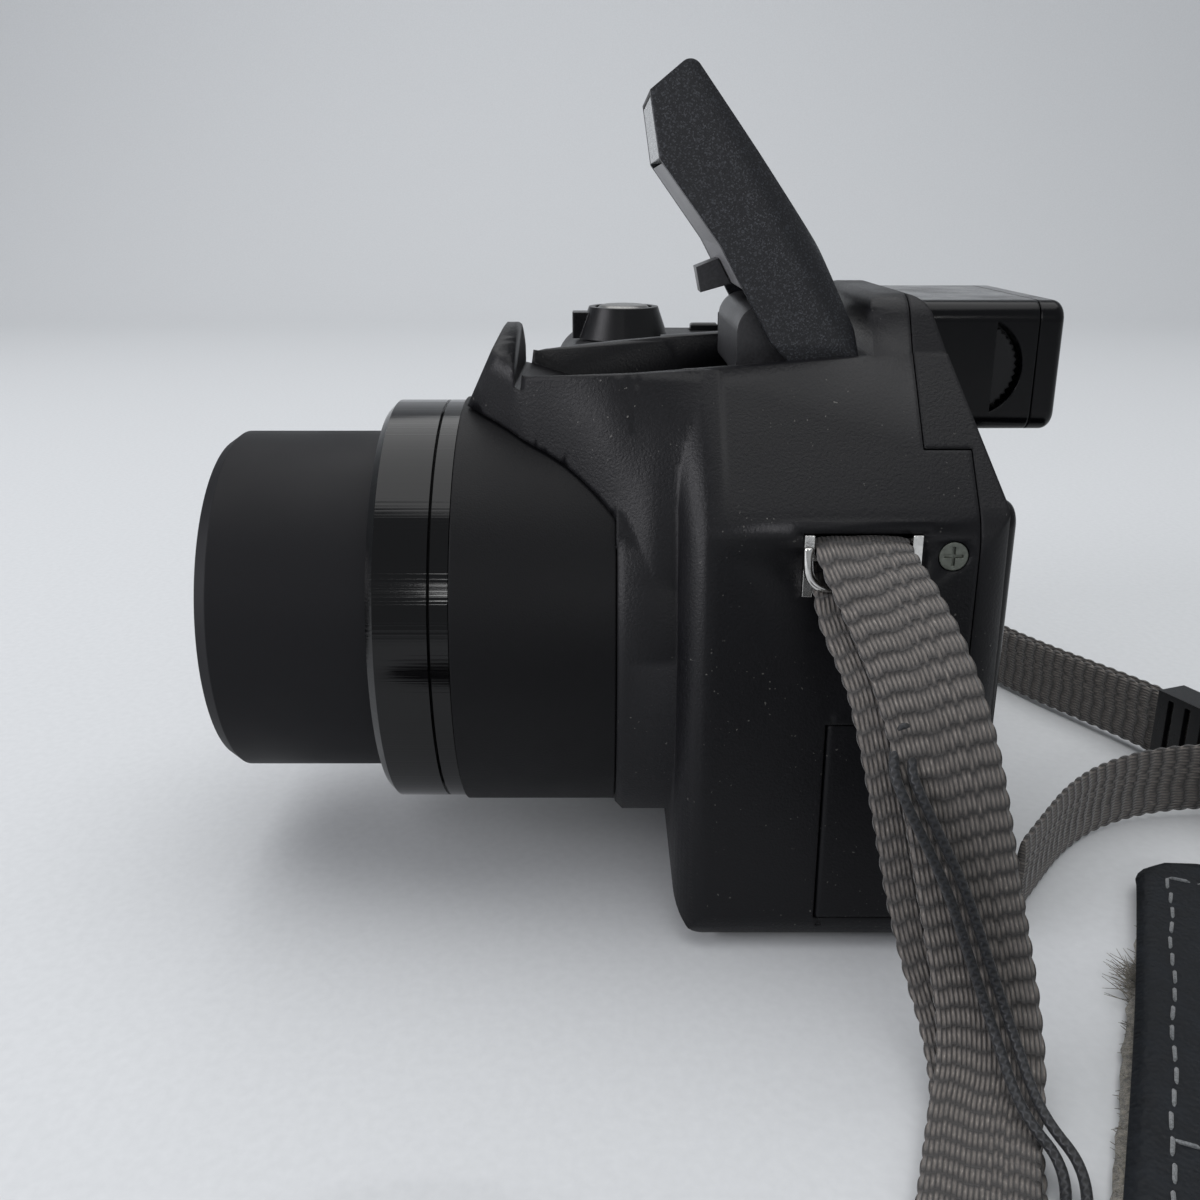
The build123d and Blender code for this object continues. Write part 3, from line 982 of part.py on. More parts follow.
def base_parts():
    """What the base gives access to: tripod socket, battery, card and their door."""
    socket = rod_z(SOCKET_RADIUS, 0, SOCKET_HEIGHT, 0, 0) - rod_z(SOCKET_BORE, -OVERRUN, SOCKET_DEPTH, 0, 0)
    battery = box(BATTERY_RIGHT, BATTERY_RIGHT + BATTERY_THICKNESS, BATTERY_FRONT,
                  BATTERY_FRONT + BATTERY_WIDTH,
                  STOW_Z, STOW_Z + BATTERY_HEIGHT)
    battery = fillet(battery.edges().filter_by(Axis.Z), BATTERY_EDGE)
    card = along_z(rectangle(CARD_RIGHT, CARD_RIGHT + CARD_THICKNESS, CARD_FRONT, CARD_FRONT + CARD_WIDTH),
                   STOW_Z, STOW_Z + CARD_HEIGHT)
    notch = outline([(CARD_FRONT - OVERRUN, STOW_Z + CARD_HEIGHT + OVERRUN),
                     (CARD_FRONT - OVERRUN, STOW_Z + CARD_HEIGHT - CARD_NOTCH),
                     (CARD_FRONT, STOW_Z + CARD_HEIGHT - CARD_NOTCH),
                     (CARD_FRONT + CARD_NOTCH, STOW_Z + CARD_HEIGHT),
                     (CARD_FRONT + CARD_NOTCH, STOW_Z + CARD_HEIGHT + OVERRUN)])
    card -= along_x(notch, CARD_RIGHT - OVERRUN, CARD_RIGHT + CARD_THICKNESS + OVERRUN)
    card_left = CARD_RIGHT + CARD_THICKNESS
    holder = box(BATTERY_RIGHT - HOLDER_WALL - FIT, card_left + HOLDER_WALL + FIT,
                 BATTERY_FRONT - HOLDER_WALL - FIT,
                 BATTERY_FRONT + BATTERY_WIDTH + HOLDER_WALL + FIT, STOW_Z, HOLDER_TOP_Z)
    holder -= box(BATTERY_RIGHT - FIT, BATTERY_RIGHT + BATTERY_THICKNESS + FIT, BATTERY_FRONT - FIT,
                  BATTERY_FRONT + BATTERY_WIDTH + FIT, STOW_Z - OVERRUN, STOW_Z + BATTERY_HEIGHT + FIT)
    holder -= box(CARD_RIGHT - FIT, card_left + FIT, CARD_FRONT - FIT, CARD_FRONT + CARD_WIDTH + FIT,
                  STOW_Z - OVERRUN, STOW_Z + CARD_HEIGHT + FIT)
    door = box(DOOR_RIGHT, DOOR_AXIS_X, DOOR_FRONT, DOOR_BACK, 0, DOOR_THICKNESS)
    door += rod_y(DOOR_KNUCKLE, DOOR_FRONT, DOOR_BACK, DOOR_AXIS_X, DOOR_KNUCKLE)
    door += rod_y(DOOR_KNUCKLE / 2, DOOR_FRONT - THIN_WALL, DOOR_BACK + THIN_WALL, DOOR_AXIS_X,
                  DOOR_KNUCKLE)
    return {"tripod_socket": socket, "battery": battery, "memory_card": card, "battery_holder": holder,
            "battery_door": door}


def door_hole(shape):
    """Cut the battery door's opening and its pin holes."""
    shape -= box(DOOR_RIGHT - FIT, DOOR_LEFT + FIT, DOOR_FRONT - FIT, DOOR_BACK + FIT, -OVERRUN, STOW_Z)
    return shape - rod_y(DOOR_KNUCKLE / 2 + FIT / 2, DOOR_FRONT - THIN_WALL - FIT,
                         DOOR_BACK + THIN_WALL + FIT,
                         DOOR_AXIS_X, DOOR_KNUCKLE)


def terminal_parts(outer):
    """The terminal door, on pins at its front edge, and the sockets behind it."""
    axis_x, axis_y = LEFT_WIDTH - TERMINAL_SKIN / 2, TERMINAL_FRONT + TERMINAL_SKIN / 2
    door = (outer & box(0, LEFT_WIDTH + OVERRUN, axis_y, TERMINAL_BACK, TERMINAL_LOW_Z, TERMINAL_HIGH_Z))
    door -= main_form(TERMINAL_SKIN)
    door += rod_z(TERMINAL_SKIN / 2, TERMINAL_LOW_Z, TERMINAL_HIGH_Z, axis_x, axis_y) & outer
    pin = rod_z(TERMINAL_PIN / 2, TERMINAL_LOW_Z - THIN_WALL, TERMINAL_HIGH_Z + THIN_WALL, axis_x, axis_y)
    door += pin & outer
    block_out = LEFT_WIDTH - WALL - OVERRUN
    sockets = box(block_out - JACK_DEPTH, block_out, TERMINAL_FRONT + OVERRUN, MAIN_BOARD_FRONT - FIT,
                  TERMINAL_LOW_Z + OVERRUN, TERMINAL_HIGH_Z - OVERRUN)
    mid_y = (TERMINAL_FRONT + OVERRUN + MAIN_BOARD_FRONT) / 2
    step = (TERMINAL_HIGH_Z - TERMINAL_LOW_Z) / 4
    for i in (1, 2, 3):
        sockets -= rod_x(JACK_RADIUS, block_out - JACK_DEPTH / 2, block_out + OVERRUN, mid_y,
                         TERMINAL_LOW_Z + i * step)
    return {"terminal_door": door, "terminal_sockets": sockets}


def lug_parts():
    """Chrome strap lugs: a bar between two cheeks, one in each side pocket."""
    lugs = {}
    for name, side, wall in (("strap_lug_left", 1, LEFT_WIDTH), ("strap_lug_right", -1, -RIGHT_X)):
        floor, mouth = wall - LUG_POCKET, wall + CORNER_MIN
        x0, x1 = sorted((side * floor, side * mouth))
        bar_x = side * (wall - LUG_BAR_OUT)
        lug = rod_y(LUG_BAR, LUG_FRONT + LUG_CHEEK, LUG_BACK - LUG_CHEEK, 0, 0)
        lug = Location((bar_x, 0, LUG_BAR_Z)) * lug
        for y in (LUG_FRONT + FIT / 2, LUG_BACK - LUG_CHEEK - FIT / 2):
            lug += box(x0, x1, y, y + LUG_CHEEK, LUG_LOW_Z + FIT / 2, LUG_HIGH_Z - FIT / 2)
        lugs[name] = lug
    return lugs


def side_screw():
    """The cross-head screw beside the left lug."""
    screw = rod_x(SCREW_RADIUS, LEFT_WIDTH - SCREW_HEAD, LEFT_WIDTH - FIT, SCREW_Y, SCREW_Z)
    arm = SCREW_RADIUS * 2 / 3
    for dy, dz in ((arm, SCREW_SLOT / 2), (SCREW_SLOT / 2, arm)):
        screw -= box(LEFT_WIDTH - SCREW_HEAD / 2, LEFT_WIDTH, SCREW_Y - dy, SCREW_Y + dy,
                     SCREW_Z - dz, SCREW_Z + dz)
    return screw


def board_parts():
    main = box(MAIN_BOARD_RIGHT, MAIN_BOARD_LEFT, MAIN_BOARD_FRONT, MAIN_BOARD_FRONT + BOARD_THICKNESS,
               MAIN_BOARD_LOW, MAIN_BOARD_HIGH)
    back = MAIN_BOARD_FRONT + BOARD_THICKNESS
    for i in range(3):
        x = MAIN_BOARD_RIGHT + CHIP_SIZE * (1 + 3 * i) / 2
        main += box(x, x + CHIP_SIZE, back, back + CHIP_HEIGHT, LENS_Z - CHIP_SIZE / 2,
                    LENS_Z + CHIP_SIZE / 2)
    flash = box(FLASH_BOARD_RIGHT, FLASH_BOARD_LEFT, FLASH_BOARD_FRONT, FLASH_BOARD_FRONT + BOARD_THICKNESS,
                BASE_PLATE, MAIN_BOARD_HIGH)
    x = (FLASH_BOARD_RIGHT + FLASH_BOARD_LEFT) / 2
    flash += rod_z(CAPACITOR_RADIUS, MAIN_BOARD_LOW + OVERRUN,
                   MAIN_BOARD_LOW + OVERRUN + CAPACITOR_LENGTH, x,
                   FLASH_BOARD_FRONT - CAPACITOR_RADIUS + FIT)
    return {"main_board": main, "flash_board": flash}


# Routes of the strap, from the lug outwards: a point, and which way the webbing's width
# lies there, as an angle up from the level and an angle round from the X axis. The cord's
# route holds a point and the angle that its two strands lie apart.
LUG_Y = (LUG_FRONT + LUG_BACK) / 2
OVER_BAR = [((-3.4, LUG_Y, 46.8), 0, 90), ((-2.9, LUG_Y, 48.2), 0, 90), ((-1.4, LUG_Y, 48.6), 0, 90),
            ((0.3, LUG_Y, 48.1), 0, 90)]
UNDER_BAR = [((-3.4, LUG_Y, 46.2), 0, 90), ((-2.9, LUG_Y, 44.9), 0, 90), ((-1.35, LUG_Y, 44.2), 0, 90),
             ((0.5, LUG_Y, 43.65), 0, 90)]
LEFT_OUTER = [
    ((2.8, 2.4, 46.6), 2, 90), ((6.0, 3.8, 44.0), 6, 90), ((10.2, 5.6, 40.0), 10, 90),
    ((13.5, 6.9, 35.6), 12, 90),
    ((15.6, 8.1, 30.6), 13, 90), ((16.7, 9.0, 26.0), 14, 90), ((17.9, 10.5, 18.4), 13, 90),
    ((19.3, 11.7, 12.4), 11, 90), ((21.4, 12.3, 7.6), 7, 88), ((25.0, 11.8, 4.0), 3, 82),
    ((29.4, 9.9, 2.4), 0, 74), ((35.6, 7.7, 2.1), 0, 71), ((48.0, 3.1, 2.3), 0, 70),
    ((59.0, -0.8, 2.9), 0, 70),
    ((66.0, -3.3, 3.0), 0, 70), ((73.0, -5.8, 3.2), 0, 70), ((80.0, -8.8, 4.8), 44, 68),
    ((87.0, -12.0, 5.6), 82, 66), ((95.0, -15.6, 5.7), 90, 66), ((104.0, -19.2, 5.8), 90, 76),
    ((113.0, -20.8, 6.2), 90, 92), ((121.5, -19.2, 7.2), 90, 112), ((128.0, -13.6, 9.0), 90, 140),
    ((130.0, -5.5, 11.6), 78, 172), ((126.0, 0.6, 14.6), 50, 220), ((119.6, 2.6, 17.0), 18, 250),
    ((112.4, 4.1, 18.1), 0, 246), ((105.8, 6.9, 17.9), 0, 246), ((99.1, 9.8, 17.85), 0, 246),
]
LEFT_INNER = [((4.0, 1.9, 41.9), 5, 90)]
LEFT_ASIDE = [-2.2, -2.6, -2.8, -2.8, -2.8, -2.4, -1.5, -0.6, 0.3, 0.8, 0.8]
RIGHT_OUTER = [
    ((2.5, 2.1, 46.2), 0, 90), ((3.9, 3.4, 40.5), 10, 90), ((4.5, 7.0, 31.5), 22, 90),
    ((4.5, 12.0, 21.5), 34, 92), ((3.1, 19.0, 13.0), 52, 96), ((-1.1, 27.0, 7.6), 72, 110),
]
RIGHT_FLOOR = [
    ((0.919, 34.0, 5.8), 84, 130), ((0.822, 39.8, 5.6), 90, 140), ((0.711, 45.0, 5.6), 90, 150),
    ((0.589, 50.2, 5.7), 90, 150), ((0.477, 56.0, 6.0), 90, 150), ((0.386, 60.6, 6.2), 90, 150),
    ((0.315, 63.4, 6.2), 90, 150), ((0.244, 66.2, 6.2), 90, 150), ((0.181, 66.8, 5.9), 70, 250),
    ((0.12, 65.0, 5.0), 40, 248), ((0.061, 62.9, 4.2), 14, 246), ((-0.002, 60.5, 3.85), 0, 246),
    ((-0.066, 57.7, 3.85), 0, 246),
]
RIGHT_INNER = [((2.0, 2.3, 42.2), 5, 90)]
RIGHT_TAIL = [
    ((0.203, 63.9, 6.0), 90, 150), ((0.182, 60.4, 5.9), 90, 150), ((0.181, 55.2, 5.7), 90, 150),
    ((0.164, 48.6, 5.5), 90, 150), ((0.126, 41.4, 5.3), 90, 150), ((0.069, 35.4, 5.2), 90, 150),
    ((0.0, 30.2, 5.2), 90, 150), ((-0.071, 25.0, 5.2), 90, 150),
]
CORD_ROUTE = [
    ((17.0, 5.6, 32.0), 90), ((17.8, 6.3, 29.0), 90), ((18.5, 7.1, 25.6), 90), ((19.4, 8.7, 20.0), 90),
    ((20.6, 10.6, 14.6), 90), ((22.2, 12.2, 9.9), 90), ((24.9, 13.2, 6.7), 88), ((28.1, 13.5, 5.0), 86),
    ((31.4, 14.0, 4.1), 82), ((34.6, 16.0, 2.6), 76), ((38.6, 15.2, 0.9), 68), ((42.8, 11.5, 3.9), 48),
    ((46.6, 6.4, 4.6), 33), ((49.8, 0.6, 4.7), 27), ((52.6, -5.6, 3.7), 27), ((55.4, -10.8, 0.9), 32),
    ((58.6, -15.0, 0.7), 40),
]
LEFT_SLIDER_PLACE = 18
RIGHT_SLIDER_PLACE = 16


def from_left(route):
    """Route points given outwards from the left side of the case."""
    return [((LEFT_WIDTH + x, y, z), raised, heading) for (x, y, z), raised, heading in route]


def from_right(route):
    """Route points given outwards from the right side of the case."""
    return [((RIGHT_X - x, y, z), raised, heading) for (x, y, z), raised, heading in route]


def from_pad(route):
    """Route points given as a share of the way from the pad's end back to the right side."""
    pad_x = LEFT_WIDTH + PAD_STRAP_START
    return [((pad_x - share * (pad_x - RIGHT_X), y, z), raised, heading)
            for (share, y, z), raised, heading in route]


def width_vector(raised, heading):
    """The webbing's width as a unit vector."""
    up, round_x = math.radians(raised), math.radians(heading)
    return Vector(math.cos(up) * math.cos(round_x), math.cos(up) * math.sin(round_x), math.sin(up))


def stations(route):
    """Each route point with the way the webbing runs there and its width, square to that."""
    points = [Vector(*point) for point, _, _ in route]
    result = []
    for i, (_, raised, heading) in enumerate(route):
        run = (points[min(i + 1, len(points) - 1)] - points[max(i - 1, 0)]).normalized()
        width = width_vector(raised, heading)
        width = (width - run * width.dot(run)).normalized()
        if result and width.dot(result[-1][2]) < 0:
            width = width * -1
        result.append((points[i], run, width))
    return result


def webbing(placed):
    """Flat webbing through its stations, each face ruled from one to the next."""
    sections = [Plane(origin=p, x_dir=width, z_dir=run) * Rectangle(WEB_WIDTH, WEB_THICKNESS)
                for p, run, width in placed]
    return loft(sections, ruled=True)


def beneath(placed, amount, aside=()):
    """The layer on the webbing's other side: moved square to its face, and aside by a list."""
    moved = []
    for i, (point, run, width) in enumerate(placed):
        face = run.cross(width).normalized()
        along_width = width * (aside[i] if i < len(aside) else 0)
        moved.append((point + face * amount + along_width, run, width))
    return moved


def length_of(placed):
    return sum((placed[i + 1][0] - placed[i][0]).length for i in range(len(placed) - 1))


def slider(outer, inner):
    """A moulded sleeve round both layers of webbing, open in three bars on each face."""
    point, run, width = outer
    middle = (point + inner[0]) * 0.5
    room_w = WEB_WIDTH + 2 * SLIDER_PLAY
    room_t = WEB_THICKNESS + WEB_LAYER + 2 * SLIDER_PLAY
    base = Plane(origin=middle - run * (SLIDER_LENGTH / 2), x_dir=width, z_dir=run)
    sleeve = extrude(Rectangle(room_w + 2 * SLIDER_WALL, room_t + 2 * SLIDER_WALL), SLIDER_LENGTH)
    sleeve -= extrude(Rectangle(room_w, room_t), SLIDER_LENGTH)
    gap = (SLIDER_LENGTH - 3 * SLIDER_BAR) / 2
    for i in (0, 1):
        start = SLIDER_BAR + i * (gap + SLIDER_BAR)
        sleeve -= Location((0, 0, start)) * extrude(Rectangle(room_w, room_t + 3 * SLIDER_WALL), gap)
    return base.location * sleeve


def doubled_back(under, over):
    """One strip of webbing: up the under layer, round the lug's bar, down the upper layer."""
    back = [(point, run * -1, width) for point, run, width in reversed(under)]
    return webbing(back + over)


def strap_parts():
    left = stations(from_left(OVER_BAR + LEFT_OUTER))
    left_under = stations(from_left(UNDER_BAR + LEFT_INNER))
    left_under += beneath(left[6:LEFT_SLIDER_PLACE + 2], -WEB_LAYER, LEFT_ASIDE)
    right = stations(from_right(OVER_BAR + RIGHT_OUTER) + from_pad(RIGHT_FLOOR))
    right_return = beneath(right[5:RIGHT_SLIDER_PLACE + 2], WEB_LAYER)
    right_under = stations(from_right(UNDER_BAR + RIGHT_INNER)) + right_return
    right_under += stations(from_pad(RIGHT_TAIL))
    print("webbing lengths", [round(length_of(run)) for run in (left, left_under, right, right_under)])
    left_at, right_at = left[LEFT_SLIDER_PLACE], right[RIGHT_SLIDER_PLACE]
    left_slider = slider(left_at, beneath([left_at], -WEB_LAYER)[0]).solid()
    right_slider = slider(right_at, beneath([right_at], WEB_LAYER)[0]).solid()
    return {"strap_left": doubled_back(left_under, left), "strap_right": doubled_back(right_under, right),
            "strap_sliders": Compound([left_slider, right_slider]), "strap_pad": shoulder_pad()}


def shoulder_pad():
    """The padded middle: flat on the table, its far end folded back and forth on itself."""
    half = PAD_STRAP_THICKNESS / 2
    low = half + CORNER_MIN / 3
    fold_start = PAD_STRAP_FLAT - PAD_STRAP_FOLD
    profile = rectangle(0, PAD_STRAP_FLAT, low - half, low + half)
    turn_out = PAD_STRAP_PITCH / 2 + half
    turn_in = PAD_STRAP_PITCH / 2 - half
    ring = Circle(turn_out) - Circle(turn_in)
    for i in range(1, PAD_STRAP_LAYERS):
        z = low + i * PAD_STRAP_PITCH
        profile += rectangle(fold_start, PAD_STRAP_FLAT, z - half, z + half)
        at_far_end = i % 2 == 1
        s = PAD_STRAP_FLAT if at_far_end else fold_start
        reach = turn_out if at_far_end else -turn_out
        side = rectangle(min(0, reach), max(0, reach), -turn_out, turn_out)
        profile += Location((s, z - PAD_STRAP_PITCH / 2)) * (ring & side)
    heading = math.radians(PAD_STRAP_HEADING)
    along = (math.cos(heading), math.sin(heading), 0)
    across = (math.sin(heading), -math.cos(heading), 0)
    centre = Vector(LEFT_WIDTH + PAD_STRAP_START, PAD_STRAP_Y, 0)
    plane = Plane(origin=centre - Vector(*across) * (PAD_STRAP_WIDTH / 2), x_dir=along, z_dir=across)
    pad = extrude(plane * profile, PAD_STRAP_WIDTH)
    plan = Plane(origin=centre, x_dir=along, z_dir=(0, 0, 1))
    trim = rectangle(0, PAD_STRAP_FLAT + turn_out, -PAD_STRAP_WIDTH / 2, PAD_STRAP_WIDTH / 2,
                     PAD_STRAP_CORNER)
    trim += rectangle(fold_start - turn_out, PAD_STRAP_FLAT + turn_out, -PAD_STRAP_WIDTH / 2,
                      PAD_STRAP_WIDTH / 2)
    return pad & extrude(plan * trim, PAD_STRAP_LAYERS * PAD_STRAP_PITCH + OVERRUN)


def bend_radii(points):
    """One radius for each corner of a route: 0.45 of the shorter run, eased by the turn."""
    radii = []
    for before, here, after in zip(points, points[1:], points[2:]):
        turn = math.radians((here - before).get_angle(after - here))
        radii.append(0.45 * min((here - before).length, (after - here).length) / math.tan(turn / 2))
    return radii


def cord_tube(points, diameter):
    radii = bend_radii(points)
    print("cord bends", round(min(radii), 1), "to", round(max(radii), 1))
    path = FilletPolyline(*points, radius=radii)
    return sweep(Plane(origin=path @ 0, z_dir=path % 0) * Circle(diameter / 2), path=path)


def cap_parts():
    """The lens cap with its loop, and the doubled cord that ties it to the strap."""
    near, far = [], []
    for (x, y, z), heading in CORD_ROUTE:
        point = Vector(LEFT_WIDTH + x, y, z)
        across = width_vector(0, heading) * CORD_SPREAD
        near.append(point + across)
        far.append(point - across)
    crown = [near[0] + Vector(0, 0, CORD_SPREAD * 2), far[0] + Vector(0, 0, CORD_SPREAD * 2)]
    cord = cord_tube(list(reversed(near)) + crown + far, CORD_DIAMETER)
    cap = rod_z(CAP_RADIUS, CORNER_MIN / 3, CAP_THICKNESS, *CAP_PLACE)
    cap = chamfer(cap.faces().sort_by(Axis.Z)[-1].edges(), CORNER_MIN * 2)
    cap -= rod_z(CAP_RADIUS - CAP_SKIN, -OVERRUN, CAP_THICKNESS - CAP_SKIN, *CAP_PLACE)
    last = CORD_ROUTE[-1][0]
    end = Vector(LEFT_WIDTH + last[0], last[1], 0)
    toward = (end - Vector(*CAP_PLACE, 0)).normalized()
    loop_at = Vector(*CAP_PLACE, 0) + toward * (CAP_RADIUS + CAP_LOOP / 3)
    loop = rod_z(CAP_LOOP, CORNER_MIN / 3, CAP_SKIN, loop_at.X, loop_at.Y)
    loop -= rod_z(CAP_RADIUS - CAP_SKIN / 2, -OVERRUN, CAP_THICKNESS, *CAP_PLACE)
    return {"cap_cord": cord, "lens_cap": cap + loop}


def main():
    os.makedirs("parts", exist_ok=True)
    front, rear, deck, base, outer = build_case()
    parts = {}
    front = door_hole(front) - rod_z(TERMINAL_PIN / 2 + FIT / 2, TERMINAL_LOW_Z - THIN_WALL - FIT,
                                     TERMINAL_HIGH_Z + THIN_WALL + FIT, LEFT_WIDTH - TERMINAL_SKIN / 2,
                                     TERMINAL_FRONT + TERMINAL_SKIN / 2)
    front -= skin_region(FIT / 2)
    front -= box(-HOOK_HALF - RUNNING_GAP, HOOK_HALF + RUNNING_GAP, WELL_FRONT - HOOK_NOTCH,
                 WELL_FRONT + CORNER_MIN,
                 HOOK_NOTCH_Z, TROUGH_FLOOR_Z + OVERRUN)
    base = door_hole(base) - rod_z(SOCKET_RADIUS + FIT / 2, -OVERRUN, SOCKET_HEIGHT, 0, 0)
    parts.update({"front_cover": front, "rear_cover": rear, "top_plate": deck, "base_plate": base})
    parts["grip_rubber"] = skin_region()
    parts.update(lens_parts())
    parts.update(flash_parts())
    parts.update(viewfinder_parts())
    parts.update(screen_parts())
    parts.update(control_parts())
    parts.update(base_parts())
    parts.update(terminal_parts(outer))
    parts.update(lug_parts())
    parts.update(board_parts())
    parts["body_screws"] = side_screw()
    parts.update(strap_parts())
    parts.update(cap_parts())
    for name, shape in parts.items():
        print(name, len(shape.solids()), round(shape.volume), shape.is_valid)
        export_step(shape, f"parts/{name}.step")
    print(len(parts), "parts")


main()
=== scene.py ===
# %% [markdown]
# A bridge camera stands ready on a pale table, its zoom run out, its flash raised and its neck
# strap trailing off to one side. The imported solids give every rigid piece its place. This
# notebook gives each piece its finish, and makes the soft pieces: webbing, cord and pad.

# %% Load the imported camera
import math
import random
from functools import partial

import bmesh
import bpy
from mathutils import Matrix, Vector


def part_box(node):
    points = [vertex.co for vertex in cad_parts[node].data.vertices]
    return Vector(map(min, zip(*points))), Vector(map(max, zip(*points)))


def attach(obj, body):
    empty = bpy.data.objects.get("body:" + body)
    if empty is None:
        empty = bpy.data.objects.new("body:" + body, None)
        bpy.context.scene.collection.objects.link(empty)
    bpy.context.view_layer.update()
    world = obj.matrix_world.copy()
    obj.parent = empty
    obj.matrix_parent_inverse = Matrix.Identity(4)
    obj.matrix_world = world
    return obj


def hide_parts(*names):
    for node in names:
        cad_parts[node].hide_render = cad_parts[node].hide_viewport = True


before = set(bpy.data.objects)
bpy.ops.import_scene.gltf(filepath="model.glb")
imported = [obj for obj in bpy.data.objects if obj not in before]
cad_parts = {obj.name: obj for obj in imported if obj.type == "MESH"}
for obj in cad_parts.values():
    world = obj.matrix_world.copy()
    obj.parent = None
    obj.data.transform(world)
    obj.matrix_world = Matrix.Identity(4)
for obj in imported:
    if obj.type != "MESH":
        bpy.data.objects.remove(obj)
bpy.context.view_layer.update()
print("rigid pieces:", len(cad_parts))

# %% [markdown]
# The picture is taken from the camera's left side, a hand's breadth away and a little above.
# A short distance makes the near strap look wide, so place and lens belong together. The
# height of the lens axis is needed here and in several places below.

# %% Viewpoint
FRAME_PIXELS = 1200
FOCAL_PIXELS = 1180
SENSOR_MM = 36
LENS_Z = 0.0325
STAND_POINT = (0.1470, -0.0250, 0.0817)
PICTURE_SHIFT = -0.0025
NEAREST_SEEN = 0.005


def in_scene(name, data):
    """An object with this data, linked to the scene."""
    thing = bpy.data.objects.new(name, data)
    bpy.context.scene.collection.objects.link(thing)
    return thing


viewpoint = bpy.data.cameras.new("viewpoint")
viewpoint.lens = SENSOR_MM * FOCAL_PIXELS / FRAME_PIXELS
viewpoint.sensor_width = SENSOR_MM
viewpoint.shift_y = PICTURE_SHIFT
viewpoint.clip_start = NEAREST_SEEN
stand_point = in_scene("viewpoint", viewpoint)
stand_point.location = STAND_POINT
aim = Vector((0.0, STAND_POINT[1], LENS_Z)) - stand_point.location
stand_point.rotation_euler = aim.to_track_quat("-Z", "Y").to_euler()
bpy.context.scene.camera = stand_point
print("lens", round(viewpoint.lens, 2), "mm")

# %% [markdown]
# The strap is flat webbing. Like any flat band it needs two things at each place along it:
# a point, and the way its width lies. Only the points make the line, a smooth NURBS spline.

# %% Strap routes, in metres: a point, and its width as an angle up and an angle round
LEFT_OUTER = [
    ((0.0276, 0.0019, 0.0468), 0, 90), ((0.0281, 0.0019, 0.0482), 0, 90),
    ((0.0296, 0.0019, 0.0486), 0, 90), ((0.0313, 0.0019, 0.0481), 0, 90),
    ((0.0338, 0.0024, 0.0466), 2, 90), ((0.0370, 0.0038, 0.044), 6, 90),
    ((0.0412, 0.0056, 0.04), 10, 90), ((0.0445, 0.0069, 0.0356), 12, 90),
    ((0.0466, 0.0081, 0.0306), 13, 90), ((0.0477, 0.0090, 0.026), 14, 90),
    ((0.0489, 0.0105, 0.0184), 13, 90), ((0.0503, 0.0117, 0.0124), 11, 90),
    ((0.0524, 0.0123, 0.0076), 7, 88), ((0.0560, 0.0118, 0.004), 3, 82),
    ((0.0604, 0.0099, 0.0024), 0, 74), ((0.0666, 0.0077, 0.0021), 0, 71),
    ((0.0790, 0.0031, 0.0023), 0, 70), ((0.0900, -0.0008, 0.0029), 0, 70),
    ((0.0970, -0.0033, 0.003), 0, 70), ((0.1040, -0.0058, 0.0032), 0, 70),
    ((0.1110, -0.0088, 0.0048), 44, 68), ((0.1180, -0.0120, 0.0056), 82, 66),
    ((0.1260, -0.0156, 0.0057), 90, 66), ((0.1350, -0.0192, 0.0058), 90, 76),
    ((0.1440, -0.0208, 0.0062), 90, 92), ((0.1525, -0.0192, 0.0072), 90, 112),
    ((0.1590, -0.0136, 0.009), 90, 140), ((0.1610, -0.0055, 0.0116), 78, 172),
    ((0.1570, 0.0006, 0.0146), 50, 220), ((0.1506, 0.0026, 0.017), 18, 250),
    ((0.1434, 0.0041, 0.0181), 0, 246), ((0.1368, 0.0069, 0.0179), 0, 246),
    ((0.1301, 0.0098, 0.01785), 0, 246),
]
LEFT_UNDER = [
    ((0.0276, 0.0019, 0.0462), 0, 90), ((0.0281, 0.0019, 0.0449), 0, 90),
    ((0.0296, 0.0019, 0.0442), 0, 90), ((0.0315, 0.0019, 0.04365), 0, 90),
    ((0.0350, 0.0019, 0.0419), 5, 90),
]
RIGHT_OUTER = [
    ((-0.0781, 0.0019, 0.0468), 0, 90), ((-0.0786, 0.0019, 0.0482), 0, 90),
    ((-0.0801, 0.0019, 0.0486), 0, 90), ((-0.0818, 0.0019, 0.0481), 0, 90),
    ((-0.0840, 0.0021, 0.0462), 0, 90), ((-0.0854, 0.0034, 0.0405), 10, 90),
    ((-0.0860, 0.0070, 0.0315), 22, 90), ((-0.0860, 0.0120, 0.0215), 34, 92),
    ((-0.0846, 0.0190, 0.013), 52, 96), ((-0.0804, 0.0270, 0.0076), 72, 110),
    ((-0.0735, 0.0340, 0.0058), 84, 130), ((-0.0640, 0.0398, 0.0056), 90, 140),
    ((-0.0530, 0.0450, 0.0056), 90, 150), ((-0.0410, 0.0502, 0.0057), 90, 150),
    ((-0.0300, 0.0560, 0.006), 90, 150), ((-0.0210, 0.0606, 0.0062), 90, 150),
    ((-0.0140, 0.0634, 0.0062), 90, 150), ((-0.0070, 0.0662, 0.0062), 90, 150),
    ((-0.0008, 0.0668, 0.0059), 70, 250), ((0.0052, 0.0650, 0.005), 40, 248),
    ((0.0110, 0.0629, 0.0042), 14, 246), ((0.0172, 0.0605, 0.00385), 0, 246),
    ((0.0235, 0.0577, 0.00385), 0, 246),
]
RIGHT_UNDER = [
    ((-0.0781, 0.0019, 0.0462), 0, 90), ((-0.0786, 0.0019, 0.0449), 0, 90),
    ((-0.0801, 0.0019, 0.0442), 0, 90), ((-0.0820, 0.0019, 0.04365), 0, 90),
    ((-0.0835, 0.0023, 0.0422), 5, 90),
]
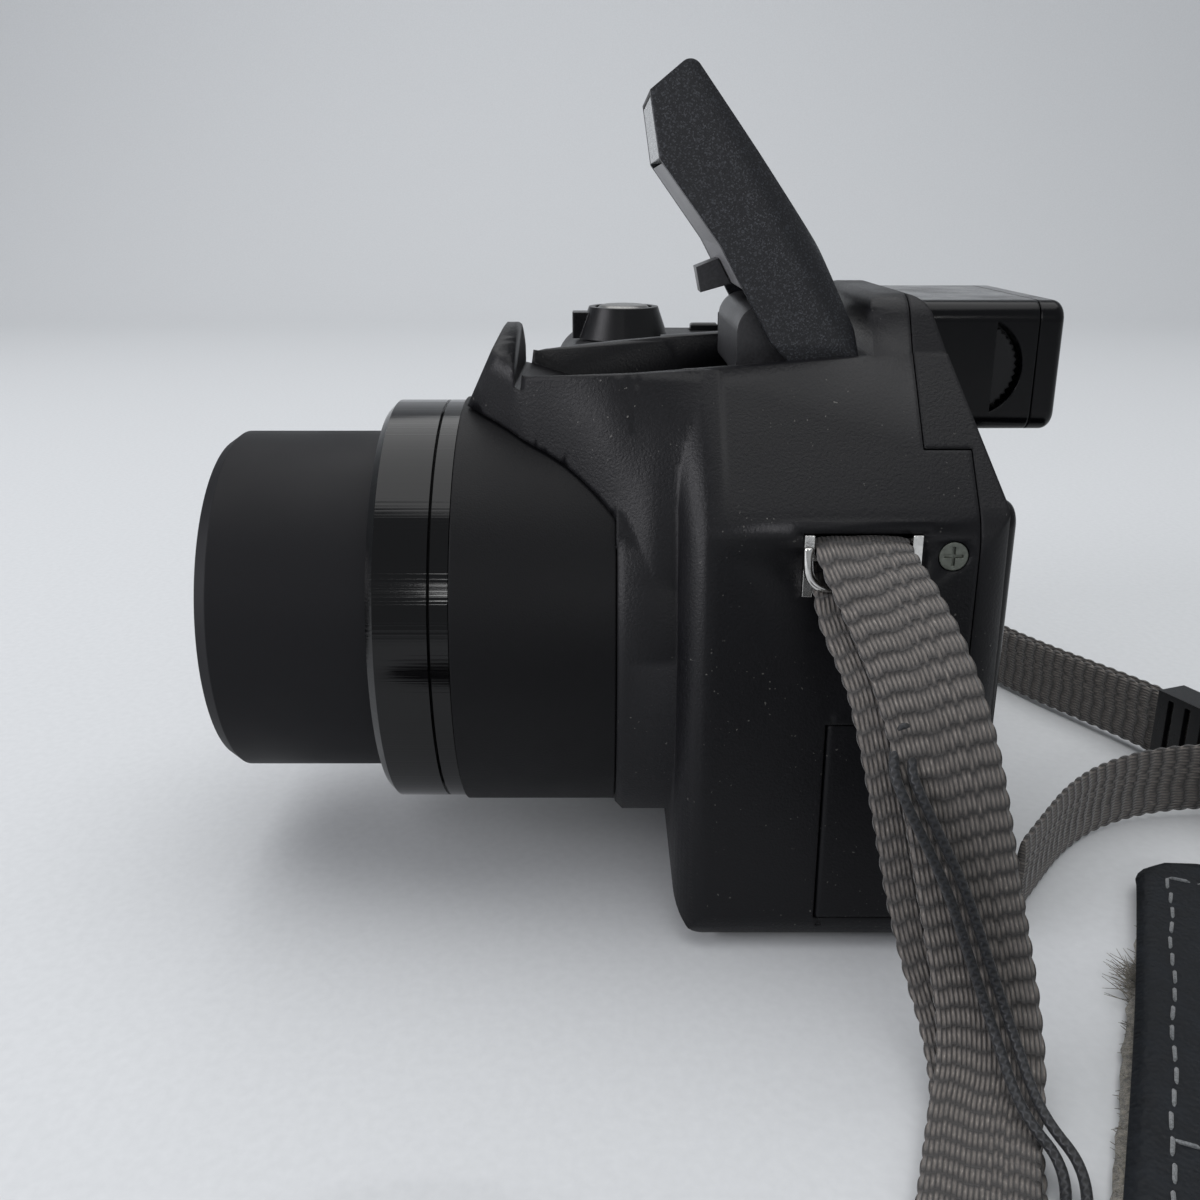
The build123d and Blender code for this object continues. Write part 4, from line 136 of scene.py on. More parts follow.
RIGHT_TAIL = [
    ((-0.0030, 0.0639, 0.006), 90, 150), ((-0.0009, 0.0604, 0.0059), 90, 150),
    ((-0.0008, 0.0552, 0.0057), 90, 150), ((0.0008, 0.0486, 0.0055), 90, 150),
    ((0.0046, 0.0414, 0.0053), 90, 150), ((0.0102, 0.0354, 0.0052), 90, 150),
    ((0.0170, 0.0302, 0.0052), 90, 150), ((0.0240, 0.0250, 0.0052), 90, 150),
]
print("route points:", len(LEFT_OUTER), "left and", len(RIGHT_OUTER), "right")

# %% [markdown]
# Each route point becomes a station: its place, the webbing's run there, and its width square
# to that run. The strap is doubled between the lug and the slider, so the inner layer is the
# outer one moved square to its face. On the left it also lies a little aside.

# %% Stations of both layers
WEB_WIDTH = 0.0098
WEB_LAYER = 0.00145
# The doubled stretch of each side, as numbers of its first route point and its slider's.
LAYERS_MEET_LEFT = 6
LAYERS_MEET_RIGHT = 5
LEFT_SLIDER_PLACE = 18
RIGHT_SLIDER_PLACE = 16
# How far the left inner layer lies aside of the outer one, from point to point.
LEFT_ASIDE_MM = [-2.2, -2.6, -2.8, -2.8, -2.8, -2.4, -1.5, -0.6, 0.3, 0.8, 0.8]


def run_at(points, i):
    """The direction of a line of points at one of them."""
    return (points[min(i + 1, len(points) - 1)] - points[max(i - 1, 0)]).normalized()


def stations(route):
    """Each route point with the webbing's run and its width there, square to each other."""
    points = [Vector(point) for point, _, _ in route]
    result = []
    for i, (_, raised, heading) in enumerate(route):
        run = run_at(points, i)
        up, turn = math.radians(raised), math.radians(heading)
        width = Vector((math.cos(up) * math.cos(turn), math.cos(up) * math.sin(turn), math.sin(up)))
        width = (width - run * width.dot(run)).normalized()
        if result and width.dot(result[-1][2]) < 0:
            width = -width
        result.append((points[i], run, width))
    return result


def beneath(placed, amount, aside_mm=()):
    """The webbing's other layer: the stations moved square to its face, and aside."""
    moved = []
    for i, (point, run, width) in enumerate(placed):
        sideways = width * (aside_mm[i] / 1000 if i < len(aside_mm) else 0)
        moved.append((point + run.cross(width).normalized() * amount + sideways, run, width))
    return moved


left_outer = stations(LEFT_OUTER)
left_doubled = left_outer[LAYERS_MEET_LEFT:LEFT_SLIDER_PLACE + 2]
left_inner = stations(LEFT_UNDER) + beneath(left_doubled, -WEB_LAYER, LEFT_ASIDE_MM)
right_outer = stations(RIGHT_OUTER)
right_doubled = right_outer[LAYERS_MEET_RIGHT:RIGHT_SLIDER_PLACE + 2]
right_inner = stations(RIGHT_UNDER) + beneath(right_doubled, WEB_LAYER) + stations(RIGHT_TAIL)
print("stations:", len(left_outer), len(left_inner), len(right_outer), len(right_inner))

# %% [markdown]
# A NURBS spline runs smoothly past its control points, as a soft strap does. Blender gives it
# as short straight pieces of uneven length, and ribs need even steps, so the line is measured
# and cut again. The strap's width is read the same way, and eased from station to station.

# %% Read a line off a spline
SPLINE_DETAIL = 24


def smooth_line(points, step):
    """Points at even steps along the NURBS spline that has these control points."""
    curve = bpy.data.curves.new("line", "CURVE")
    curve.dimensions = "3D"
    curve.resolution_u = SPLINE_DETAIL
    spline = curve.splines.new("NURBS")
    spline.points.add(len(points) - 1)
    for place, point in zip(spline.points, points):
        place.co = (*point, 1)
    spline.order_u = 3
    spline.use_endpoint_u = True
    holder = bpy.data.objects.new("line", curve)
    mesh = bpy.data.meshes.new_from_object(holder)
    dense = [v.co.copy() for v in mesh.vertices]
    bpy.data.objects.remove(holder)
    reach = [0.0]
    for a, b in zip(dense, dense[1:]):
        reach.append(reach[-1] + (b - a).length)
    count = max(2, round(reach[-1] / step))
    line, k = [], 0
    for i in range(count + 1):
        s = reach[-1] * i / count
        while k < len(reach) - 2 and reach[k + 1] < s:
            k += 1
        share = (s - reach[k]) / max(reach[k + 1] - reach[k], 1e-9)
        line.append((s, dense[k].lerp(dense[k + 1], share)))
    return line


def widths_along(line, placed):
    """The webbing's width at each point of the line, eased from station to station."""
    marks, start = [], 0
    for point, _, width in placed:
        nearest = min(range(start, len(line)), key=lambda i: (line[i][1] - point).length_squared)
        start = nearest
        marks.append((line[nearest][0], width))
    widths, k = [], 0
    for s, _ in line:
        while k < len(marks) - 2 and marks[k + 1][0] < s:
            k += 1
        a, b = marks[k], marks[k + 1]
        share = min(max((s - a[0]) / max(b[0] - a[0], 1e-6), 0), 1)
        share = share * share * (3 - 2 * share)
        widths.append(a[1].lerp(b[1], share).normalized())
    return widths


print("lines can be read")

# %% [markdown]
# Webbing, cord, pad and stitches are all made in one way: rings of points along a line, and
# four-sided faces from each ring to the next. A curve with a bevel would do for the cord, but
# not for webbing, whose outline changes at every rib. So a few helpers work on plain meshes.

# %% Helpers for meshes
def between(rings):
    """Faces that join each ring of point numbers to the next."""
    faces = []
    for low, high in zip(rings, rings[1:]):
        for k in range(len(low)):
            n = (k + 1) % len(low)
            faces.append((low[k], low[n], high[n], high[k]))
    return faces


def circle_at(point, run, normal, radius, count):
    """Points of a circle square to a run, from the side that the normal points to."""
    side = run.cross(normal)
    turns = [2 * math.pi * k / count for k in range(count)]
    return [point + (normal * math.cos(turn) + side * math.sin(turn)) * radius for turn in turns]


def make_piece(name, verts, faces, smooth=True):
    """A mesh of these points and faces, placed in the scene."""
    mesh = bpy.data.meshes.new(name)
    mesh.from_pydata([tuple(v) for v in verts], [], faces)
    mesh.polygons.foreach_set("use_smooth", [smooth] * len(mesh.polygons))
    return in_scene(name, mesh)


print("mesh helpers ready")

# %% [markdown]
# Woven strap has ribs across it where the lengthwise yarns dive under the weft, about two
# millimetres apart, and its edges swell with each rib. A bump map alone leaves the outline
# straight, so the ribs and the scalloped edges are in the mesh, and the yarns in the finish.

# %% One slice of webbing
RIB_PITCH = 0.0021
ACROSS = 20
EDGE_SWELL = 0.00022
EDGE_TRIM = 0.00012
HALF_THICKNESS = 0.00033
RIB_RISE = 0.00026


def web_section(s, lean):
    """One slice of webbing: (across, out) pairs round it, at s along it."""
    half = WEB_WIDTH / 2 + EDGE_SWELL * abs(math.sin(math.pi * s / RIB_PITCH + lean)) - EDGE_TRIM
    top, bottom = [], []
    for i in range(ACROSS + 1):
        u = -1 + 2 * i / ACROSS
        wander = 0.5 * math.sin(3.1 * u + 40 * s) + 0.35 * math.sin(7.7 * u + 95 * s)
        rib = abs(math.sin(math.pi * s / RIB_PITCH + lean + 0.35 * wander)) ** 0.7
        thick = (HALF_THICKNESS + RIB_RISE * rib) * (1 - abs(u) ** 5 * 0.6)
        top.append((u * half, thick))
        bottom.append((u * half, -thick))
    return top + list(reversed(bottom))


print("slice of", len(web_section(0, 0)), "points")

# %% [markdown]
# The slices are set along each line. The UV map holds metres across and along the webbing, so
# that the yarns of the finish follow every bend. Each layer's ribs start at a place of their
# own, because two layers never line up.

# %% Four layers of webbing
WEB_STEP = 0.00035


def build_webbing(name, placed, lean):
    line = smooth_line([point for point, _, _ in placed], WEB_STEP)
    points = [point for _, point in line]
    widths = widths_along(line, placed)
    verts, uvs, rings = [], [], []
    for i, (s, point) in enumerate(line):
        run = run_at(points, i)
        width = (widths[i] - run * widths[i].dot(run)).normalized()
        face = run.cross(width)
        section = web_section(s, lean)
        rings.append(range(len(verts), len(verts) + len(section)))
        verts += [point + width * across + face * out for across, out in section]
        uvs += [(across, s) for across, _ in section]
    ends = [tuple(reversed(rings[0])), tuple(rings[-1])]
    piece = make_piece(name, verts, ends + between(rings))
    layer = piece.data.uv_layers.new(name="weave")
    for loop in piece.data.loops:
        layer.data[loop.index].uv = uvs[loop.vertex_index]
    print(name, "is", round(line[-1][0] * 1000), "mm long")
    return piece, points


LAYERS = {
    "strap_left_outer": (left_outer, 0.0),
    "strap_left_inner": (left_inner, 1.1),
    "strap_right_outer": (right_outer, 0.6),
    "strap_right_inner": (right_inner, 2.0),
}
strap_pieces = {name: build_webbing(name, placed, lean) for name, (placed, lean) in LAYERS.items()}

# %% [markdown]
# A thin braided cord ties the lens cap to the strap. It is one cord, doubled: it goes up,
# round the inner layer of webbing, and down again, so its two strands lie side by side.

# %% Doubled cap cord
CORD_ROUTE = [
    ((0.0447, 0.0041, 0.0328), 90), ((0.0468, 0.0034, 0.0308), 90), ((0.0484, 0.0044, 0.0285), 90),
    ((0.0494, 0.0062, 0.025), 90),
    ((0.0504, 0.0087, 0.02), 90), ((0.0516, 0.0106, 0.0146), 90), ((0.0532, 0.0122, 0.0099), 90),
    ((0.0559, 0.0132, 0.0067), 88), ((0.0591, 0.0135, 0.005), 86), ((0.0624, 0.0140, 0.0041), 82),
    ((0.0656, 0.0160, 0.0026), 76), ((0.0696, 0.0152, 0.0009), 68), ((0.0738, 0.0115, 0.0039), 48),
    ((0.0776, 0.0064, 0.0046), 33), ((0.0808, 0.0006, 0.0047), 27), ((0.0836, -0.0056, 0.0037), 27),
    ((0.0864, -0.0108, 0.0009), 32), ((0.0896, -0.0150, 0.0007), 40),
]
CORD_DIAMETER = 0.001
CORD_SPREAD = 0.00085
CORD_SIDES = 14
CORD_STEP = 0.0002


def cord_points():
    """The doubled cord's control points, from the cap up one strand and down the other."""
    near, far = [], []
    for point, heading in CORD_ROUTE:
        turn = math.radians(heading)
        across = Vector((math.cos(turn), math.sin(turn), 0)) * CORD_SPREAD
        near.append(Vector(point) + across)
        far.append(Vector(point) - across)
    lift = Vector((0, 0, 2 * CORD_SPREAD))
    return list(reversed(near)) + [near[0] + lift, far[0] + lift] + far


def build_tube(name, line, radius, count):
    """A round tube along a line; its UV runs once round it, and in metres along it."""
    points = [point for _, point in line]
    verts, uvs, rings = [], [], []
    normal = run_at(points, 0).orthogonal().normalized()
    for i, (s, point) in enumerate(line):
        run = run_at(points, i)
        normal = (normal - run * normal.dot(run)).normalized()
        rings.append(range(len(verts), len(verts) + count))
        verts += circle_at(point, run, normal, radius, count)
        uvs += [(k / count, s) for k in range(count)]
    piece = make_piece(name, verts, between(rings) + [tuple(reversed(rings[0])), tuple(rings[-1])])
    layer = piece.data.uv_layers.new(name="braid")
    for polygon in piece.data.polygons:
        seam = any(uvs[v][0] > 0.8 for v in polygon.vertices)
        for loop in polygon.loop_indices:
            u, v = uvs[piece.data.loops[loop].vertex_index]
            layer.data[loop].uv = (u + 1 if seam and u < 0.2 else u, v)
    return piece


cord_line = smooth_line(cord_points(), CORD_STEP)
cap_cord = build_tube("cap_cord_braid", cord_line, CORD_DIAMETER / 2, CORD_SIDES)
print("cap cord is", round(cord_line[-1][0] * 1000), "mm long")

# %% [markdown]
# A strap gives way where a rigid piece can't. A table lists each layer of webbing, the strap of
# the solids that it replaces, where it leaves the camera, what its far end holds and the pieces
# that go with it. Each layer rides on the body and its strap of the solids is hidden; the new
# cord rides on the body in the same way, in place of the solid one.

# %% List the soft lengths and hang them on the body
LEFT_LUG = (0.0296, 0.0019, 0.0465)
RIGHT_LUG = (-0.0801, 0.0019, 0.0465)
ATTACHED = [
    ("strap_left_outer", "strap_left", LEFT_LUG, "object", []),
    ("strap_left_inner", "strap_left", LEFT_LUG, "fitting", [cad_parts["strap_sliders"]]),
    ("strap_right_outer", "strap_right", RIGHT_LUG, "object", []),
    ("strap_right_inner", "strap_right", RIGHT_LUG, "bare", []),
]

for name, replaced, exit_at, far_end, pieces in ATTACHED:
    piece, web_path = strap_pieces[name]
    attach(piece, "body")
    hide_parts(replaced)

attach(cap_cord, "body")
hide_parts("cap_cord")
print("cords declared:", len(ATTACHED) + 1)

# %% [markdown]
# The strap's middle is a soft pad: a leather top, glued and stitched round a felt backing
# whose edge has begun to fray. It lies flat beside the camera, and its far half is folded
# back and forth on itself. A fold is a half turn, so its path is straight runs and half turns.

# %% Pad path
PAD_CORNER = Vector((0.017, 0.0606, 0))
PAD_HEADING = math.radians(-24.2)
PAD_START = 0.0046
PAD_FLAT = 0.132
PAD_FOLD = 0.044
PAD_LAYERS = 5
PAD_PITCH = 0.0035
PAD_HALF_WIDTH = 0.0172
PAD_MIDDLE = 0.0016
FLAT_STEPS = 90
TURN_STEPS = 16
FOLD_STEPS = 30
pad_along = Vector((math.cos(PAD_HEADING), math.sin(PAD_HEADING), 0))
pad_across = Vector((math.sin(PAD_HEADING), -math.cos(PAD_HEADING), 0))


def pad_path():
    """(distance, along, height, tilt) down the pad, from its near end to the last fold."""
    steps, travel = [], 0.0
    fold_start = PAD_FLAT - PAD_FOLD

    def put(along, height, tilt):
        nonlocal travel
        if steps:
            travel += math.hypot(along - steps[-1][1], height - steps[-1][2])
        steps.append((travel, along, height, tilt))

    for i in range(FLAT_STEPS):
        put(PAD_START + (PAD_FLAT - PAD_START) * i / FLAT_STEPS, PAD_MIDDLE, 0.0)
    for layer in range(1, PAD_LAYERS):
        out = layer % 2 == 1
        corner = PAD_FLAT if out else fold_start
        far = fold_start if out else PAD_FLAT
        middle = PAD_MIDDLE + (layer - 0.5) * PAD_PITCH
        for i in range(TURN_STEPS + 1):
            turn = math.pi * i / TURN_STEPS
            swing = math.sin(turn) * PAD_PITCH / 2 * (1 if out else -1)
            tilt = turn if out else math.pi - turn
            put(corner + swing, middle - math.cos(turn) * PAD_PITCH / 2, tilt)
        for i in range(1, FOLD_STEPS):
            share = i / FOLD_STEPS
            put(corner + (far - corner) * share, middle + PAD_PITCH / 2, math.pi if out else 0.0)
    return steps


path = pad_path()
print("pad is", round(path[-1][0] * 1000), "mm long, in", PAD_LAYERS, "layers")

# %% [markdown]
# Leather and felt are two thin slabs with round edges, one on the other, that follow the same
# path. The leather's near corners are cut round. The felt reaches out past it by a hair, with
# an edge that comes and goes at random, from a fixed seed so that it is the same each time.

# %% Pad slabs
PAD_SLICES = 26
PAD_SEED = 7
CORNER_RADIUS = 0.006
LEATHER_INSET = 0.0006


def pad_place(step, across, out):
    """A place on the pad: across it, and out from its middle on the leather side."""
    _, along, height, tilt = step
    base = PAD_CORNER + pad_along * (along - math.sin(tilt) * out) + pad_across * across
    return base + Vector((0, 0, height + math.cos(tilt) * out))


def build_pad_slab(name, low, high, half_at, edge, ragged):
    """One layer of the pad, from low to high about its middle, with round edges."""
    rng = random.Random(PAD_SEED)
    rings, verts = [], []
    middle = (low + high) / 2
    for step in path:
        half = half_at(step[0])
        fray = ragged * (rng.random() - 0.2)
        start = len(verts)
        for side, level in ((1, high), (-1, low)):
            for i in range(PAD_SLICES + 1):
                u = (-1 + 2 * i / PAD_SLICES) * side
                across = u * (half + (fray if u > 0.9 else 0))
                inset = max(0.0, abs(across) - (half - edge)) / edge
                round_off = 1 - math.sqrt(max(0.0, 1 - min(inset, 1.0) ** 2))
                verts.append(pad_place(step, across, middle + (level - middle) * (1 - round_off * 0.9)))
        rings.append(range(start, len(verts)))
    return make_piece(name, verts, [tuple(reversed(rings[0])), tuple(rings[-1])] + between(rings))


def leather_half(s):
    """The leather's half width at a distance along the pad: its two near corners are round."""
    full = PAD_HALF_WIDTH - LEATHER_INSET
    if s < CORNER_RADIUS:
        return full - CORNER_RADIUS + math.sqrt(max(0.0, CORNER_RADIUS ** 2 - (CORNER_RADIUS - s) ** 2))
    return full - 0.0004 * math.sin(s * 55)


def felt_half(s):
    """The felt's: a millimetre less at the near end, and a little more further on."""
    return leather_half(s) + min(0.0007, max(-0.001, (s - 0.022) * 0.05))


pad_leather = build_pad_slab("pad_leather", -0.0001, 0.0014, leather_half, 0.0012, 0.0)
pad_felt = build_pad_slab("pad_felt", -0.0013, -0.0001, felt_half, 0.0006, 0.0005)
print("pad slabs:", len(pad_leather.data.vertices), "and", len(pad_felt.data.vertices), "points")

# %% [markdown]
# Stitches are what makes leather read as sewn. Each is a short thread that sinks at both
# ends, so it is modelled as a thin tube, half below the surface. Two rows run along the pad,
# and two cross it.

# %% Pad stitches
STITCH = 0.0026
STITCH_GAP = 0.0007
STITCH_RADIUS = 0.00022
EDGE_TO_STITCH = 0.0036
CROSS_ROWS = (0.0052, 0.0520)
STITCH_SEED = 3
STITCH_ARC = [(0, 0.00128), (0.2, 0.00148), (0.8, 0.00148), (1, 0.00128)]
THREAD_SIDES = 6
THREAD_TIP = 0.45


def thread(points, radius, verts, faces):
    """A thread through the points, thin at both ends, added to a mesh's points and faces."""
    rings = []
    for i, point in enumerate(points):
        run = run_at(points, i)
        thick = radius * (THREAD_TIP if i in (0, len(points) - 1) else 1.0)
        rings.append(range(len(verts), len(verts) + THREAD_SIDES))
        verts += circle_at(point, run, run.orthogonal().normalized(), thick, THREAD_SIDES)
    faces += between(rings) + [tuple(reversed(rings[0])), tuple(rings[-1])]


def path_at(s):
    """The pad's path at a distance along it."""
    for a, b in zip(path, path[1:]):
        if b[0] >= s:
            share = (s - a[0]) / max(b[0] - a[0], 1e-9)
            return tuple(x + (y - x) * share for x, y in zip(a, b))
    return path[-1]


def stitch_pad():
    verts, faces = [], []
    rng = random.Random(STITCH_SEED)
    s = CROSS_ROWS[0]
    while s < path[-1][0] - STITCH:
        for side in (1, -1):
            across = side * (leather_half(s) - EDGE_TO_STITCH + 0.0002 * math.sin(s * 420))
            places = [pad_place(path_at(s + STITCH * t), across + 0.00012 * (rng.random() - 0.5), level)
                      for t, level in STITCH_ARC]
            thread(places, STITCH_RADIUS, verts, faces)
        s += STITCH + STITCH_GAP
    for row in CROSS_ROWS:
        across = -(PAD_HALF_WIDTH - EDGE_TO_STITCH - 0.001)
        while across < PAD_HALF_WIDTH - EDGE_TO_STITCH - STITCH:
            places = [pad_place(path_at(row), across + STITCH * t, level) for t, level in STITCH_ARC]
            thread(places, STITCH_RADIUS, verts, faces)
            across += STITCH + STITCH_GAP
    return make_piece("pad_stitches", verts, faces)


pad_stitches = stitch_pad()
print("stitch points:", len(pad_stitches.data.vertices))

# %% [markdown]
# The felt's edge has begun to fray: fibres stand out all along it, closest together and
# longest at one worn tuft. Hair particles could do this. A few hundred thin tubes are enough,
# and they stay where they are put.

# %% Frayed threads at the felt's edge
FRAY_SEED = 11
FIBRES = 260
TUFT_FIBRES = 90
TUFT_PLACE = 0.026
TUFT_SPREAD = 0.0016
FIBRE_RADIUS = 0.00005
TABLE_GAP = 0.00012


def fray_pad():
    rng = random.Random(FRAY_SEED)
    verts, faces = [], []
    for i in range(FIBRES):
        tuft = i < TUFT_FIBRES
        s = rng.gauss(TUFT_PLACE, TUFT_SPREAD) if tuft else rng.uniform(0.004, 0.085)
        reach = rng.uniform(0.001, 0.0032) if tuft else rng.uniform(0.0003, 0.0011)
        point = pad_place(path_at(s), felt_half(s) - 0.0004, rng.uniform(-0.0011, -0.0002))
        way = pad_across + pad_along * rng.uniform(-1.1, 1.1) + Vector((0, 0, rng.uniform(-0.1, 0.5)))
        way = way.normalized()
        curl = Vector((rng.uniform(-1, 1), rng.uniform(-1, 1), rng.uniform(-0.3, 0.6))) * reach * 0.5
        places = [point, point + way * reach * 0.5 + curl * 0.3, point + way * reach + curl]
        places = [Vector((p.x, p.y, max(p.z, TABLE_GAP))) for p in places]
        thread(places, FIBRE_RADIUS, verts, faces)
    return make_piece("pad_fray", verts, faces, smooth=False)


pad_fray = fray_pad()
for piece, slot in ((pad_leather, "leather"), (pad_felt, "webbing"), (pad_stitches, "webbing"),
                    (pad_fray, "webbing")):
    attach(piece, "body")
    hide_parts("strap_pad")
print("pad pieces ride on the body")

# %% [markdown]
# The hump over the lens isn't built of flat planes: it swells out of the shoulder like
# modelled clay, and the shoulder's front edge fades into it. A loft gives such a surface: a
# few sections across the hump, joined by smooth lines. Booleans then trade the plain form for
# it: what stands outside the loft is cut away, and what the loft adds is joined on.

# %% Loft of the hump
HUMP_LEVELS = [0.038, 0.044, 0.050, 0.058, 0.066, 0.075]
HUMP_SECTIONS = [
    (-0.0430, [3.4, 3.4, 3.4, 3.3, 3.1, 3.1]), (-0.0414, [4.6, 4.6, 4.6, 4.5, 4.3, 4.3]),
    (-0.0360, [10.9, 10.9, 10.9, 10.8, 10.4, 10.4]), (-0.0300, [15.4, 15.4, 15.3, 15.0, 14.2, 14.2]),
    (-0.0245, [20.6, 20.3, 19.8, 18.6, 16.2, 16.2]), (-0.0200, [25.6, 24.6, 23.0, 20.4, 17.0, 17.0]),
    (-0.0166, [26.0, 25.4, 24.2, 21.6, 17.4, 17.4]), (-0.0120, [26.0, 26.0, 26.0, 23.4, 17.4, 17.4]),
    (-0.0090, [26.0, 26.0, 26.4, 23.6, 17.4, 17.4]), (-0.0080, [26.0, 26.0, 26.4, 23.6, 17.4, 17.4]),
]
LOFT_LEVELS = 28
LOFT_SLICES = 68


def smooth_value(knots, values, at):
    """A value read from a smooth curve through the knots, as a loft runs through its sections."""
    k = max(i for i in range(len(knots) - 1) if knots[i] <= at + 1e-12)
    span = knots[k + 1] - knots[k]
    share = (at - knots[k]) / span
    slopes = []
    for i in (k, k + 1):
        low, high = max(i - 1, 0), min(i + 1, len(knots) - 1)
        slopes.append((values[high] - values[low]) / (knots[high] - knots[low]) * span)
    a, b = values[k], values[k + 1]
    return ((2 * share ** 3 - 3 * share ** 2 + 1) * a + (share ** 3 - 2 * share ** 2 + share) * slopes[0]
            + (3 * share ** 2 - 2 * share ** 3) * b + (share ** 3 - share ** 2) * slopes[1])


def spread(knots, count):
    return [knots[0] + (knots[-1] - knots[0]) * i / count for i in range(count + 1)]


def hump_loft():
    """The loft's own mesh: half widths read at many levels of many sections."""
    section_places = [y for y, _ in HUMP_SECTIONS]
    levels, places = spread(HUMP_LEVELS, LOFT_LEVELS), spread(section_places, LOFT_SLICES)
    verts, rings = [], []
    for y in places:
        halves = [smooth_value(section_places, [row[i] for _, row in HUMP_SECTIONS], y) / 1000
                  for i in range(len(HUMP_LEVELS))]
        side = [smooth_value(HUMP_LEVELS, halves, z) for z in levels]
        start = len(verts)
        verts += [(x, y, z) for x, z in zip(side, levels)]
        verts += [(-x, y, z) for x, z in zip(reversed(side), reversed(levels))]
        rings.append(range(start, len(verts)))
    faces = between(rings) + [tuple(rings[0]), tuple(reversed(rings[-1]))]
    return make_piece("hump_loft", verts, faces, smooth=False)


print("loft of", len(HUMP_SECTIONS), "sections")

# %% [markdown]
# A boolean takes one closed form from another, or adds or keeps what they share. It works only
# if every face knows which side is out, so each tool is turned outwards first. The tools are
# prisms: an outline drawn once and pushed along a line.

# %% Helpers for booleans
BAR_SIDES = 96


def facing_out(piece):
    """Turn every face of a closed mesh outwards, which a boolean needs."""
    form = bmesh.new()
    form.from_mesh(piece.data)
    bmesh.ops.remove_doubles(form, verts=form.verts, dist=1e-6)
    bmesh.ops.recalc_face_normals(form, faces=form.faces)
    form.to_mesh(piece.data)
    form.free()
    return piece


def prism(name, outline, start, end):
    """A solid with this outline at its start, moved by the vector end - start."""
    count = len(outline)
    verts = [Vector(v) + start for v in outline] + [Vector(v) + end for v in outline]
    faces = [tuple(range(count)), tuple(reversed(range(count, 2 * count)))]
    faces += [(i, i + count, (i + 1) % count + count, (i + 1) % count) for i in range(count)]
    return facing_out(make_piece(name, verts, faces, smooth=False))


def trade(piece, operation, tools):
    """Apply a boolean with each tool in turn, and take the tools away."""
    for tool in tools:
        step = piece.modifiers.new(tool.name, "BOOLEAN")
        step.operation, step.solver, step.object = operation, "EXACT", tool
    graph = bpy.context.evaluated_depsgraph_get()
    mesh = bpy.data.meshes.new_from_object(piece.evaluated_get(graph))
    piece.modifiers.clear()
    piece.data = mesh
    for tool in tools:
        bpy.data.objects.remove(tool)
    return piece


def round_bar(name, radius, y0, y1):
    """A bar round the lens axis."""
    turns = [2 * math.pi * i / BAR_SIDES for i in range(BAR_SIDES)]
    circle = [(radius * math.cos(turn), 0, LENS_Z + radius * math.sin(turn)) for turn in turns]
    return prism(name, circle, Vector((0, y0, 0)), Vector((0, y1, 0)))


case_front = facing_out(in_scene("front_cover_shaped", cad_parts["front_cover"].data.copy()))
loft = facing_out(hump_loft())
print("front cover has", len(case_front.data.polygons), "faces before it is shaped")

# %% [markdown]
# Beside the barrel the loft stands out further than the plain hump. What it adds there is a
# flare on each side: a wedge under the hump's rim, cut to the loft's own skin, with room left
# for the barrel. The flares are joined on last.

# %% Flares beside the barrel
BODY_FRONT = -0.0166
BARREL_ROOM = 0.0264
RIM_LOW = (-0.0348, 0.0629)
RIM_HIGH = (0.0044, 0.0658)
FLARE_REAR = -0.0090
FLARE_FRONT = -0.0300
FLARE_FOOT = 0.038
FLARE_INNER = 0.0160
FLARE_OUTER = 0.0290
UNDER_RIM = 0.00002
ROOM_FRONT = -0.043
ROOM_REAR = BODY_FRONT + 0.0018


def rim(y):
    """Height of the hump's rim, which climbs from the horn to the hinge."""
    return RIM_LOW[1] + (RIM_HIGH[1] - RIM_LOW[1]) * (y - RIM_LOW[0]) / (RIM_HIGH[0] - RIM_LOW[0])


wedge = [(0, FLARE_FRONT, FLARE_FOOT), (0, FLARE_REAR, FLARE_FOOT),
         (0, FLARE_REAR, rim(FLARE_REAR) - UNDER_RIM), (0, FLARE_FRONT, rim(FLARE_FRONT) - UNDER_RIM)]
flares = []
for side in (1, -1):
    flare = prism("flare", wedge, Vector((side * FLARE_INNER, 0, 0)), Vector((side * FLARE_OUTER, 0, 0)))
    trade(flare, "INTERSECT", [in_scene("loft_copy", loft.data.copy())])
    gap = round_bar("barrel_room", BARREL_ROOM, ROOM_FRONT, ROOM_REAR)
    flares.append(trade(flare, "DIFFERENCE", [gap]))
print("flares:", [len(flare.data.polygons) for flare in flares], "faces")

# %% [markdown]
# In front of the body the plain hump stands outside the loft, and a block with the loft's own
# shape taken out of it cuts that away. The bulge round the barrel stays, so it is taken out
# of the block too.

# %% Block round the loft
BULGE_RADIUS = 0.0273
BULGE_FRONT = -0.0231
BULGE_REAR = -0.010
BLOCK = [(-0.031, 0, 0.0460), (0.031, 0, 0.0460), (0.031, 0, 0.0755), (-0.031, 0, 0.0755)]
BLOCK_FRONT = -0.0425
HAIR = 0.00001

around = prism("around_hump", BLOCK, Vector((0, BLOCK_FRONT, 0)), Vector((0, BODY_FRONT - HAIR, 0)))
bulge = round_bar("bulge", BULGE_RADIUS + 5 * HAIR, BULGE_FRONT - 10 * HAIR, BULGE_REAR)
trade(around, "DIFFERENCE", [loft, bulge])
print("block:", len(around.data.polygons), "faces")

# %% [markdown]
# The shoulder's front edge is rounded, along the slope from the shoulder up to the hump. Its
# tool is the corner that a quarter round leaves over. After both cuts and the join, only
# edges sharper than 28 degrees stay sharp, so the new form shades smoothly.

# %% Trade the plain hump for the loft
SHOULDER = Vector((0.031, 0, 0.050))
SLOPE_TOP = Vector((0.0174, 0, 0.0661))
CHEEK_RADIUS = 0.005
CHEEK_STEPS = 12
OVERSHOOT = 0.001
BEFORE_FACE = 0.0005
BELOW_SHOULDER = 0.012
BELOW_TOP = 0.0002
SHARP_ANGLE = math.radians(28)

